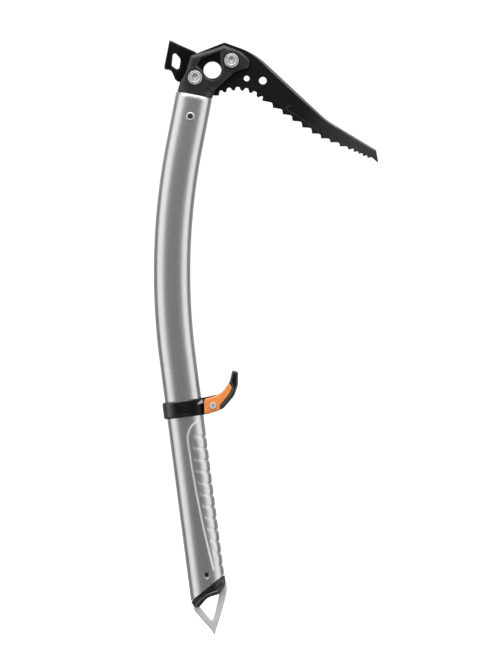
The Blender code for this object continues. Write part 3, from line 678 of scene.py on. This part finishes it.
def head_field(x, z, y):
    side = polygon(rounded([
        (-33.2, -26.6, 0), (-2.0, -31.8, 0), (2.4, -18.2, 6), (20.2, -1.7, 12), (31.4, 1.0, 2.5),
        (33.4, 8.0, 5), (25.5, 15.2, 8), (10.3, 21.4, 2), (1.5, 17.9, 12), (-19.4, 12.2, 3.5),
        (-24.0, -4.0, 20), (-28.2, -10.6, 6)]), x, z)
    away = abs(y)
    body = chamfered(side, away - CHEEK_HALF, 3.0, 1.7, 0.9)
    for centre in (FRONT_BOLT, REAR_BOLT):
        rim = circle(centre, BOSS_RADIUS + 0.6, x, z)
        boss = chamfered(rim, away - CHEEK_HALF - BOSS_RISE, 2.0, 0.9, 0.8)
        body = either(body, both(boss, side + 0.3, 0.8), 1.4)
    down, across = shaft_frame(SHAFT_TOP, x, z)
    height = SHAFT_TOP - down
    marks = [0, 4, 10, 20, 60]  # heights above the joint where the neck's oval is given
    half_depth = np.interp(height, marks, [16.1, 17.5, 24, 40, 70])
    half_thick = np.interp(height, marks, [10.0, 9.9, 9.8, 9.9, 10.2])
    middle = np.interp(height, marks, [0, 0, 1, 2, 2])
    body = both(body, oval(across - middle, y, half_depth, half_thick), 1.0)
    body = both(body, -height, 0.3)
    pocket = polygon(recess_outline(), x, z)
    bowl = (pocket - (away - CHEEK_HALF) * 1.1 + 0.2) * 0.67
    body = cut(body, both(bowl, RECESS_FLOOR - 0.6 - away), 0.6)
    thin = PICK_HALF + GAP
    blade = [(40, -25.9), (3.4, -25.9), (-3.2, -19.0), (-9.0, -15.0), (-12, -12.5), (-12, 40), (40, 40)]
    body = cut(body, both(polygon(blade, x, z), away - thin), 0.3)
    fork = [(-7.2, 41), (-5.8, 0), (-5.8, -12.0), (-10.0, -16.7), (-16.0, -17.0), (-29.5, -11.2),
            (-45, -11.2), (-45, 41)]
    body = cut(body, both(polygon(fork, x, z), away - thin - FORK_EAR - GAP), 0.3)
    eye = circle((0, 0), EYE_RADIUS, x, z)
    body = cut(body, eye, 0.3)
    body = cut(body, (eye - (away - RECESS_FLOOR + 0.7)) * 0.7, 0.3)
    for centre in (FRONT_BOLT, REAR_BOLT):
        bore = both(circle(centre, BORE_RADIUS, x, z), BORE_FLOOR - away)
        body = cut(body, bore, 0.35)
        body = cut(body, circle(centre, SLEEVE_RADIUS + GAP, x, z))
    return cut(body, circle(RIVET_AT, RIVET_RADIUS + GAP, x, z))


def pocket_shade(x, y, z):
    """1 inside the pocket round the eye, where the material paints shade."""
    return np.clip(-polygon(recess_outline(), x, z) / 1.6, 0, 1) * (abs(y) > 2.6)


def make_head(material):
    tenon = loft([shaft_ring(s, *PLUG, count=48) for s in (SHAFT_TOP - 0.5, SHAFT_TOP + 40)])
    head = carve("head_forging", (-36, -36, -11.2), (36, 24, 11.2), 0.42, head_field, tenon)
    # painted shade in the pocket round the eye
    mark(head, "deep", pocket_shade)
    finish(head, "axe", material, "head_body")


# ---- pick
SMALL_CENTRE, SMALL_RADIUS, SMALL_DEPTH = (21.6, -48.9), 31.0, 3.3
SMALL_FIRST, SMALL_PITCH, SMALL_COUNT = 109.1, 13.6, 5
SAW_TIPS = [(43.8, -26.8), (53.3, -33.0), (62.0, -38.7), (70.5, -44.5), (79.1, -50.3), (87.7, -55.7),
            (95.7, -60.0), (103.8, -63.5), (112.2, -67.0), (119.7, -70.0), (124.6, -72.1),
            (128.7, -73.7), (132.6, -75.7), (136.6, -77.2), (145.4, -81.1)]
SMALL_SQUARE, SMALL_BIAS = 1.7, 0.25
FIRST_SLOPE, FINE_SLOPE = -0.19, 0.22
LEVEL_X = 100.0
FACE_LEAN = 0.5
ROOT_RADIUS, FINE_RADIUS, FINE_PITCH = 2.1, 0.7, 6.5
APEX, BROW, BEND = (10.6, 24.2), (37.6, 14.5), (100.3, -44.0)  # corners of the back
BACK_SLOPES = (0.36, 0.933, 0.604)  # how the back falls beyond each of them
HOOK_AT, GROOVE_END = (67.3, -33.4), (96.4, -47.3)  # centres of the round ends of the groove


def small_teeth(each=20):
    """Blunt teeth with wider round gaps near the head: a flattened wave about one arc."""
    points = []
    for i in range(each * SMALL_COUNT + 1):
        angle = SMALL_FIRST - SMALL_PITCH * (i / each - 0.5)
        phase = 2 * pi * (angle - SMALL_FIRST) / SMALL_PITCH
        wave = tanh(SMALL_SQUARE * cos(phase) - SMALL_BIAS)
        points += arc(SMALL_CENTRE, SMALL_RADIUS + SMALL_DEPTH / 2 * (1 - wave), angle, angle, 1)[:1]
    return points


def saw_teeth():
    """Hooked teeth as corners: a sharp tip, a nearly level back, a rounded root and a steep face."""
    corners = []
    for (x, z), (next_x, _) in zip(SAW_TIPS, SAW_TIPS[1:]):
        fine = next_x - x < FINE_PITCH
        level = min((x - SAW_TIPS[0][0]) / (LEVEL_X - SAW_TIPS[0][0]), 1.0)
        slope = FINE_SLOPE if fine else FIRST_SLOPE * (1 - level)
        root = z + slope * (next_x - x)
        corners += [(x, z, 0), (next_x - FACE_LEAN, root, FINE_RADIUS if fine else ROOT_RADIUS)]
    return corners[:-1]


def pick_outline():
    point = [(*BEND, 60.0), (144.0, -70.4, 1.2), (146.0, -81.6, 0.4), (140.2, -76.6, 1.0)]
    back = [(-15.6, 13.9, 1.0), (*APEX, 3.0), (*BROW, 65.0)]
    tail = [(1.6, -22.4), (-2.9, -18.6), (-9.0, -13.6), *arc(REAR_BOLT, 7.0, 290, 160, 24)]
    near_head = [(5.6, -22.3), (6.4, -18.6), *small_teeth()]
    lower = [(x, z, 0) for x, z in tail[::-1] + near_head]
    return rounded(back[::-1] + lower + saw_teeth() + point[::-1])


def spaced(points, gap):
    """Closed outline with its long runs divided."""
    out = []
    for a, b in zip(points, points[1:] + points[:1]):
        steps = max(1, ceil(dist(a, b) / gap))
        out += [(a[0] + (b[0] - a[0]) * k / steps, a[1] + (b[1] - a[1]) * k / steps) for k in range(steps)]
    return out


def smooth_step(value, low, high):
    t = min(max((value - low) / (high - low), 0.0), 1.0)
    return t * t * (3 - 2 * t)


def is_back(point):
    """True along the pick's top edge beyond the head."""
    x, z = point
    lines = [at[1] - (x - at[0]) * fall for at, fall in zip((APEX, BROW, BEND), BACK_SLOPES)]
    line = lines[0] if x < BROW[0] else max(lines[1:])
    return x > 12 and z > max(line - 3.2, -70.9)


def bevelled_plate(outline):
    """The pick's plate, with its edges cut back."""
    half = PICK_HALF
    following = outline[1:] + outline[:1]
    turn = 1 if sum(a[0] * b[1] - b[0] * a[1] for a, b in zip(outline, following)) > 0 else -1
    rings = [[], [], [], []]
    for before, here, after in zip(outline[-1:] + outline, outline, following):
        x, z = here
        one = (Vector(here) - Vector(before)).normalized()
        two = (Vector(after) - Vector(here)).normalized()
        inward = Vector((-(one + two).y, (one + two).x)) * turn
        inward = inward.normalized() if inward.length > 0.2 else Vector((0, 0))
        miter = 1 / max(sqrt((1 + one.dot(two)) / 2), 0.6)
        width, depth = pick_bevel(here)
        u, w = Vector(here) + inward * width * miter
        for ring, p in zip(rings, ((u, -half, w), (x, depth - half, z), (x, half - depth, z), (u, half, w))):
            ring.append(p)
    return loft(rings)


def pick_bevel(point):
    """Width and depth of the bevel, wide along the back beyond the head."""
    if not is_back(point):
        return 0.28, 0.25
    wide = smooth_step(point[0], 26, 52) * (1 - 0.35 * smooth_step(point[0], 70, 100))
    return 0.35 + 1.75 * wide, 0.3 + 0.9 * wide


def groove(path, width, depth, face):
    """Sweep of a tapered section along an open path on a flat face at y = face."""
    out = 1 if face > 0 else -1
    rings = []
    for i, (x, z) in enumerate(path):
        a, b = Vector(path[max(i - 1, 0)]), Vector(path[min(i + 1, len(path) - 1)])
        side = Vector((-(b - a).y, (b - a).x)).normalized()
        fade = min(1.0, 0.35 + 0.5 * min(i, len(path) - 1 - i))
        section = [(-width, 0.3), (width, 0.3), (width * 0.25, -depth * fade), (-width * 0.25, -depth * fade)]
        rings.append([(x + side.x * u, face + out * v, z + side.y * u) for u, v in section])
    return loft(rings)


def make_pick(material, edge_material):
    pick = mesh_object("pick_blade", bevelled_plate(spaced(pick_outline(), 3.0)))
    sleeve = SLEEVE_RADIUS + GAP
    for centre, radius in (((0, 0), EYE_RADIUS), (FRONT_BOLT, sleeve), (REAR_BOLT, sleeve),
                           ((30.2, -7.4), 2.55), ((44.4, -9.3), 3.4)):
        subtract(pick, through_hole(centre, radius, PICK_HALF, 0.3, 56))
    run = [(72.7, -38.9), (81.5, -44.9), (90.3, -50.6)]
    path = arc(HOOK_AT, 2.1, 80, 235, 10) + run + arc(GROOVE_END, 7.2, 238, 292, 8)
    for face in (-PICK_HALF, PICK_HALF):
        subtract(pick, groove(path, 0.75, 0.35, face))
    finish(pick, "axe", material, "pick", sharp=20)
    pick.data.materials.append(edge_material)
    for face in pick.data.polygons:
        x, y, z = face.center / MM
        slanted = 0.15 < abs(face.normal.y) < 0.97 and face.area > 0.3 * MM * MM
        in_groove = abs(y) < PICK_HALF - 0.05 and path_distance(path, x, z) < 0.8
        if in_groove or (slanted and x > 24 and is_back((x, z + 0.5))):
            face.material_index = 1


# ---- hammer
def hammer_field(x, z, y):
    head = [(-37.6, 25.9, 1.0), (-42.5, 1.0, 1.2), (-36.4, 0.4, 4.0), (-32.4, -9.2, 6.0), (-28.6, -10.6, 0.5)]
    ear = [*arc(REAR_BOLT, 8.4, 250, 380, 24), (-9.4, 13.0), (-13.4, 14.7), (-15.2, 16.1)]
    outline = rounded(head + [(u, w, 0) for u, w in ear])
    away = abs(y)
    thin = PICK_HALF + GAP
    half = np.interp(x, [FACE_X, WAIST_X], [FACE_HALF, thin + FORK_EAR])
    body = chamfered(polygon(outline, x, z), (away - half) * 0.85, 1.3, 1.0, 0.7)
    fork = [(-22.6, -30), (20, -30), (20, 40), (-17.5, 40), (-17.5, 12.0), (-22.6, 4.0)]
    body = cut(body, both(polygon(fork, x, z), away - thin), 0.3)
    window = rounded([(-34.6, 17.4, 1.8), (-36.0, 3.6, 2.0), (-29.6, -0.8, 2.0), (-27.6, 9.6, 6.0)])
    opening = polygon(window, x, z)
    body = cut(body, opening, 0.7)
    body = cut(body, (opening - (away - half + 1.2)) * 0.7, 0.5)
    return cut(body, circle(REAR_BOLT, SLEEVE_RADIUS + GAP, x, z), 0.3)


def make_hammer(material):
    hammer = carve("hammer_head", (-44, -17, -10.6), (-5.5, 28, 10.6), 0.36, hammer_field)
    finish(hammer, "axe", material, "hammer")


# ---- fasteners
def star(radius, swing):
    """Six-lobed outline of a bolt's socket."""
    spokes = [(radius + swing * cos(6 * a), a) for a in around(96)]
    return [(r * cos(a), r * sin(a)) for r, a in spokes]


def mirrored(near):
    """Turned profile whose far half repeats the near one."""
    return near + [(radius, -y) for radius, y in reversed(near)]


def make_head_bolt(place, centre, material):
    under, r = BORE_FLOOR + GAP, BOLT_HEAD_RADIUS
    top = under + BOLT_HEAD_THICK
    tip, thin = BORE_FLOOR - 2.4, BOLT_RADIUS - 0.4
    shank = [(0, tip), (thin, tip), (thin, -1.9), (BOLT_RADIUS, -2.6), (BOLT_RADIUS, -under),
             (r - 0.2, -under), (r, -under - 0.2)]
    # the crown's points are given as distances in from the head's side and down from its top
    crown = [(0, 0.95), (0.12, 0.6), (0.55, 0.12), (0.8, 0), (1.25, 0), (1.4, 0.12), (1.55, 0.42),
             (1.75, 0.42), (1.95, 0.2), (2.3, 0.08), (2.7, 0.16), (3.1, 0.42), (r, 0.42)]
    profile = shank + [(r - inset, down - top) for inset, down in crown]
    bolt = mesh_object(f"{place}_bolt_screw", turned(profile, 72))
    subtract(bolt, loft([[(x, down - top, z) for x, z in star(2.62, 0.42)] for down in (-1, 1.35)]))
    drilled = [(0, -1), (2.35, -1), (2.35, 1.1), (0.25, 2.3), (0, 2.3)]
    funnel = [(0, -1), (4.4, -1), (2.2, 1.2), (0, 1.2)]
    for tool, steps in ((drilled, 48), (funnel, 72)):
        subtract(bolt, turned([(radius, down - top) for radius, down in tool], steps))
    finish(bolt, "axe", material, f"{place}_head_bolt", centre)


def make_head_nut(place, centre, material):
    under, r = BORE_FLOOR + GAP, BOLT_HEAD_RADIUS
    top = under + BOLT_HEAD_THICK - 0.6
    sleeve = [(0, under - 1.5), (BOLT_RADIUS, under - 1.5), (BOLT_RADIUS, -1.9), (SLEEVE_RADIUS, -1.9),
              (SLEEVE_RADIUS, under), (r - 0.2, under), (r, under + 0.2)]
    crown = [(0, 0.8), (0.15, 0.45), (0.5, 0.1), (0.8, 0), (1.7, 0), (1.85, 0.25), (2.1, 0.25),
             (2.25, 0.05), (2.6, 0), (4.25, 0), (4.75, 0.5), (r, 0.65)]
    profile = sleeve + [(r - inset, top - down) for inset, down in crown]
    nut = mesh_object(f"{place}_bolt_nut", turned(profile, 72))
    finish(nut, "axe", material, f"{place}_head_nut", centre)


def make_rivet(material):
    under = HALF_THICK + 0.02
    top = under + 0.75
    bore, r = RIVET_BORE, RIVET_FLANGE
    near = [(0, 3.0 - top), (bore * 0.55, 3.5 - top), (bore * 0.9, 3.0 - top), (bore, 0.6 - top),
            (bore + 0.2, 0.15 - top), (bore + 0.55, -top), (r - 1.0, -top), (r - 0.45, 0.18 - top),
            (r - 0.1, -under - 0.25), (r, -under), (RIVET_RADIUS, -under)]
    rivet = mesh_object("head_rivet_tube", turned(mirrored(near), 56))
    finish(rivet, "axe", material, "head_rivet", RIVET_AT)


def make_spike_pin(material):
    end = HALF_THICK - 0.9
    near = [(0, 3.4 - end), (1.0, 3.2 - end), (1.1, 0.4 - end), (1.5, -end), (SPIKE_PIN_RADIUS, 0.3 - end)]
    pin = mesh_object("spike_roll_pin", turned(mirrored(near), 40))
    finish(pin, "axe", material, "spike_pin", SPIKE_PIN_AT)


# ---- handrest
def rest_place():
    x, z = centre_at(REST_AT)
    return Matrix.Translation((x, 0, z)) @ Matrix.Rotation(-BOTTOM_LEAN, 4, "Y")


def pin_place():
    x, _, z = rest_place() @ Vector((PIN_AT[0], 0, PIN_AT[1]))
    return x, z


def band_field(u, w, y):
    half = BAND_HEIGHT / 2
    away = abs(y)
    outer = oval(u, y, HALF_DEPTH + GAP + BAND_WALL, HALF_THICK + GAP + BAND_WALL)
    body = chamfered(outer, abs(w) - half, 0.9, 0.9, 1.0)
    ears = rounded([(12.0, -7.3, 0), (18.5, -7.3, 3), (30.4, -4.4, 2), (31.4, 8.5, 1.5),
                    (20.0, 7.4, 8), (12.0, 7.2, 0)])
    body = either(body, both(polygon(ears, u, w), away - EAR_OUT, 0.9), 0.8)
    body = cut(body, oval(u, y, HALF_DEPTH + GAP + SLIDE, HALF_THICK + GAP + SLIDE), 0.3)
    body = cut(body, both(19.2 - u, away - EAR_IN), 0.3)
    slot = both(both(10 - u, u - 20), both(away - EAR_IN, w - 4.2))
    body = cut(body, slot, 0.3)
    pocket = both(PIN_AT[0] - 10.5 - u, EAR_OUT - away)
    body = cut(body, pocket, 1.0)
    panel = both(abs(u + 0.2) - 7.2, abs(w + 0.5) - 4.2, 1.2)
    panel = both(panel, HALF_THICK + GAP + BAND_WALL - 0.32 - away)
    body = cut(body, panel, 0.35)
    return cut(body, circle(PIN_AT, PIN_RADIUS + GAP, u, w))


def glint(u, y, w):
    """1 on the small triangle on the band, near the ears, where a highlight is painted."""
    triangle = [(12.4, 2.5), (16.4, 6.0), (17.2, 3.0)]
    return np.clip(0.6 - polygon(triangle, u, w), 0, 1) * (abs(y) > EAR_OUT - 0.4)


def make_band(material):
    band = carve("handrest_ring", (-20, -8.6, -13.8), (33, 9.8, 13.8), 0.36, band_field)
    # painted highlight: the small light triangle near the ears
    mark(band, "painted_glint", glint)
    mark(band, "matt", lambda u, y, w: np.clip((u - 3.0) / 6.0, 0, 1))
    band.data.transform(rest_place())
    finish(band, "handrest", material, "handrest_band")


def sweep_outline():
    return arc((0, 0), FORK_CLEARANCE, -120, 120, 48) + [(-30, 10.6), (-30, -10.6)]


def lever_outline():
    return rounded([
        (-7.7, -7.5, 1.0), (-4.0, -7.3, 4.0), (6.4, -4.0, 0.8), (6.3, -0.2, 2.5), (14.6, 10.0, 8.0),
        (17.2, 16.0, 2.5), (14.3, 20.2, 0.6), (7.6, 10.4, 16.0), (-7.7, 5.6, 2.4)])


def lever_field(x, z, y):
    away = abs(y)
    body = chamfered(polygon(lever_outline(), x, z), away - CHEEK_OUT, 0.7, 0.7, 1.0)
    body = cut(body, both(polygon(sweep_outline(), x, z), away - CHEEK_IN), 0.4)
    return cut(body, circle((0, 0), PIN_RADIUS + GAP, x, z), 0.3)


def hook_field(x, z, y):
    outline = rounded([
        (6.9, -3.9, 0), (9.8, -1.9, 6.0), (18.8, 8.6, 14.0), (22.0, 18.0, 12.0), (22.2, 29.6, 2.0),
        (17.0, 30.9, 1.4), (14.7, 20.7, 0.3), (17.6, 16.2, 2.8), (14.95, 9.7, 8.3), (6.7, -0.4, 2.8)])
    away = abs(y)
    flat = polygon(outline, x, z)
    body = chamfered(flat, away - CHEEK_OUT, 1.0, 1.0, 1.2)
    towards_lever = both(flat - 0.9, polygon(lever_outline(), x, z) - 0.9)
    tongue = both(both(towards_lever, away - CHEEK_OUT + 0.9), SEAM_LOW - z)
    body = either(body, tongue, 0.3)
    return cut(body, both(polygon(sweep_outline(), x, z), away - CHEEK_IN), 0.4)


def make_lever(orange, black):
    lever = carve("lever_cheeks", (-9, -9, -10.8), (19, 22, 10.8), 0.34, lever_field)
    finish(lever, "lever", orange, "lever", pin_place())
    lever.visible_glossy = False
    hook = carve("lever_hook_grip", (5, -5.5, -10.8), (24, 32.5, 10.8), 0.34, hook_field)
    finish(hook, "lever", black, "lever_hook", pin_place())


def make_lever_pin(material):
    under, r = CHEEK_OUT + GAP, PIN_HEAD_RADIUS
    top, end = under + 0.8, under + 1.8
    profile = [(0, 3.0 - top), (1.1, 2.8 - top), (1.45, 2.4 - top), (1.5, 0.35 - top), (1.65, 0.08 - top),
               (1.9, -top), (r - 0.6, -top), (r - 0.2, 0.12 - top), (r, 0.42 - top), (r, -under),
               (PIN_RADIUS, -under), (PIN_RADIUS, end - 0.4), (PIN_RADIUS - 0.4, end), (0, end)]
    pin = mesh_object("lever_pivot_pin", turned(profile, 56))
    finish(pin, "handrest", material, "lever_pin", pin_place())


def make_pin_clip(material):
    low, outer, inner = CHEEK_OUT + GAP, PIN_HEAD_RADIUS + 0.5, PIN_RADIUS + GAP
    high = low + 0.9
    profile = [(inner, low), (outer - 0.1, low), (outer, low + 0.1), (outer, high - 0.25),
               (outer - 0.3, high), (inner + 0.2, high), (inner, high - 0.2)]
    rings = [[(r * cos(a), y, r * sin(a)) for r, y in profile] for a in around(56)]
    clip = mesh_object("lever_pin_ring", loft(rings, closed=True))
    finish(clip, "handrest", material, "lever_pin_clip", pin_place())


# ---- bottom end
LOWER_LIP = [(13.2, -449.6), (6.8, -460.4), (1.6, -462.2), (-3.4, -464.2), (-7.4, -467.4), (-11.6, -472.4)]


def ferrule_field(x, z, y):
    outline = rounded([
        (-17.6, -466.8, 0), (12.4, -442.5, 0), (13.2, -449.6, 1.2), (6.8, -460.4, 3), (-4.0, -463.4, 12),
        (-11.6, -472.4, 2.0), (-15.8, -472.3, 1.5), (-19.2, -468.0, 0.6)])
    s, across = shaft_frame(SHAFT_END, x, z)
    marks = [SHAFT_END - 12 + 10 * i for i in range(5)]
    thick = np.interp(s, marks, [10.0, 9.9, 8.6, 6.2, 5.0])
    lip = path_distance(LOWER_LIP, x, z)
    thick = thick - 1.3 * np.exp(-(((lip - 4.6) / 1.3) ** 2)) + 0.35 * np.exp(-(((lip - 2.6) / 0.6) ** 2))
    body = both(polygon(outline, x, z), oval(across, y, HALF_DEPTH + 0.3, thick), 1.1)
    end_plane = (SHAFT_END + GAP - END_SKEW * across - s) / hypot(1, END_SKEW)
    return both(body, end_plane, 0.25)


def make_ferrule(material):
    sections = ((-29, 0), (-16, 0), (0.6, END_SKEW))
    plug = [shaft_ring(SHAFT_END + s, *PLUG, skew, count=48) for s, skew in sections]
    ferrule = carve("spike_ferrule_cap", (-21, -475, -11), (15, -440, 11), 0.34, ferrule_field, loft(plug))
    finish(ferrule, "axe", material, "spike_ferrule")


def spike_field(x, z, y):
    edge = rounded([
        (12.6, -450.0, 1.0), (12.9, -459.0, 20.0), (8.0, -478.0, 60.0), (3.6, -491.0, 6.0),
        (2.2, -497.4, 0.7), (-1.2, -492.2, 12.0), (-15.8, -475.6, 4.0), (-17.0, -470.6, 1.0),
        (-8.0, -460.0, 0.0)])
    window = rounded([
        (6.9, -458.0, 1.5), (2.6, -476.4, 30.0), (0.0, -485.0, 1.3), (-3.6, -481.2, 6.0),
        (-12.0, -471.6, 2.0), (-4.0, -462.9, 12.0)])
    half = np.interp(z, [-497.6, -484.0], [1.0, SPIKE_HALF])
    face = abs(y) - half
    body = chamfered(polygon(edge, x, z), face, 0.8, 0.7, 0.4)
    opening = polygon(window, x, z)
    body = cut(body, opening, 0.3)
    return cut(body, (opening - face - 0.5) * 0.7, 0.3)


def make_spike(material):
    spike = carve("spike_frame", (-18.5, -498.2, -3.1), (14.2, -447, 3.1), 0.27, spike_field)
    finish(spike, "axe", material, "spike")


# ---- studio
CAMERA_AT = (0.02825, -3.0, -0.2252)
VIEW_HEIGHT = 0.5738
SENSOR = 36.0
FLOOR_Z, FLOOR_REACH = -0.62, 40.0
MIDDLE = (0.0, 0.0, -0.22)  # what the lights are turned to


def make_camera():
    data = bpy.data.cameras.new("camera")
    data.sensor_width = SENSOR
    data.lens = SENSOR * -CAMERA_AT[1] / VIEW_HEIGHT
    data.clip_end = 200
    camera = new_object("camera", data)
    camera.location = CAMERA_AT
    camera.rotation_euler = (pi / 2, 0, 0)
    bpy.context.scene.camera = camera


def area_light(name, azimuth, elevation, distance, width, height, radiance):
    """Soft box at an azimuth measured from the camera's side."""
    data = bpy.data.lights.new(name, "AREA")
    data.shape = "RECTANGLE"
    data.size, data.size_y = width, height
    data.energy = radiance * pi * width * height
    light = new_object(name, data)
    a, e = radians(azimuth), radians(elevation)
    away = Vector((sin(a) * cos(e), -cos(a) * cos(e), sin(e)))
    light.location = Vector(MIDDLE) + away * distance
    light.rotation_euler = away.to_track_quat("Z", "Y").to_euler()
    light.visible_camera = False


def make_floor():
    m = Shader("pale_floor")
    m.feed(Emission_Color=(1, 1, 1, 1), Emission_Strength=0.72)
    grain = m.noise(0.02, 3.0, 0.6)
    colour = m.mix(m.ramp(grain, 0.3, 0.7), 0.93, 0.97)
    mesh = bpy.data.meshes.new("floor")
    corners = [(x * FLOOR_REACH, y * FLOOR_REACH, FLOOR_Z) for x, y in ((-1, -1), (1, -1), (1, 1), (-1, 1))]
    mesh.from_pydata(corners, [], [(0, 1, 2, 3)])
    mesh.materials.append(m.done(colour, m.ramp(grain, 0.3, 0.7, 0.85, 0.95), m.bump(grain, 0.02, 0.1)))
    floor = new_object("floor", mesh)
    floor.visible_glossy = False
    floor.visible_diffuse = False


def make_world():
    """White to the eye, a soft grey room in the reflections, brighter overhead."""
    world = bpy.data.worlds.new("studio")
    world.use_nodes = True
    bpy.context.scene.world = world
    world.node_tree.nodes.clear()
    n = Nodes(world.node_tree)
    place = n.add("TexCoord").outputs["Generated"]
    up = n.add("SeparateXYZ", {"Vector": place}).outputs["Z"]
    room = n.add("Background", {"Strength": n.ramp(up, 0.1, 0.9, 0.26, 0.7)})
    seen = n.add("Background", {"Color": (1, 1, 1, 1), "Strength": 1.05})
    mix = n.add("MixShader", {
        "Fac": n.add("LightPath").outputs["Is Camera Ray"], 1: room.outputs[0], 2: seen.outputs[0]})
    n.add("OutputWorld", {"Surface": mix.outputs[0]})


def make_studio():
    make_camera()
    make_floor()
    make_world()
    area_light("left_softbox", -52, 4, 1.5, 1.35, 2.2, 1.2)
    area_light("right_softbox", 53, 4, 1.5, 1.3, 2.2, 1.15)
    area_light("rear_left_softbox", -128, 6, 1.5, 0.6, 1.9, 0.4)
    area_light("rear_right_softbox", 128, 6, 1.5, 0.6, 1.9, 0.4)
    area_light("top_softbox", 6, 62, 1.5, 2.0, 1.0, 3.0)
    area_light("rear_top_softbox", 180, 66, 1.6, 2.0, 0.8, 1.2)
    bpy.context.scene.view_settings.view_transform = "Standard"
    bpy.context.scene.view_settings.look = "None"


# ---- assembly
def dress(node, material):
    """Give a CAD node that stays a better material."""
    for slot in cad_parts[node].material_slots:
        slot.material = material


def main():
    make_studio()
    black = moulded_plastic("black_nylon", 0.004, 0.008, 0.10, (0.22, 1.3))
    orange = moulded_plastic("orange_nylon", (0.92, 0.27, 0.055), (0.96, 0.325, 0.08), (0.95, 0.5, 0.25),
                             (0.45, 0.8))
    coat = forged_coating("forged_coat", (0.019, 0.019, 0.020), (0.029, 0.029, 0.030), 0.16, (0.45, 0.75))
    dark = forged_coating("hammer_coat", (0.002,) * 3, (0.004,) * 3, 0.12, (0.12, 1.0, 0.2, 0.36))
    bolt = plated_steel("plated_bolt", (0.56, 0.56, 0.57), (0.74, 0.74, 0.75), (0.18, 0.3), 3.2, 0.8)
    rivet = plated_steel("satin_rivet", 0.52, 0.68, (0.26, 0.38), 2.2, 0.9)

    make_shaft(satin_aluminium())
    make_head(coat)
    make_pick(blade_steel(), ground_edge())
    make_hammer(dark)
    for place, centre in (("front", FRONT_BOLT), ("rear", REAR_BOLT)):
        make_head_bolt(place, centre, bolt)
        make_head_nut(place, centre, bolt)
    make_rivet(rivet)
    make_band(black)
    make_lever(orange, black)
    make_lever_pin(plated_steel("polished_pin", 0.86, 0.95, (0.2, 0.3), 3.2, 0.4))
    make_pin_clip(rivet)
    dress("jam_pawl", rivet)
    dress("lever_spring", rivet)
    make_ferrule(black)
    make_spike(brushed_steel())
    make_spike_pin(plated_steel("dark_pin", 0.10, 0.18, (0.3, 0.42), 2.2, 0.9))


main()
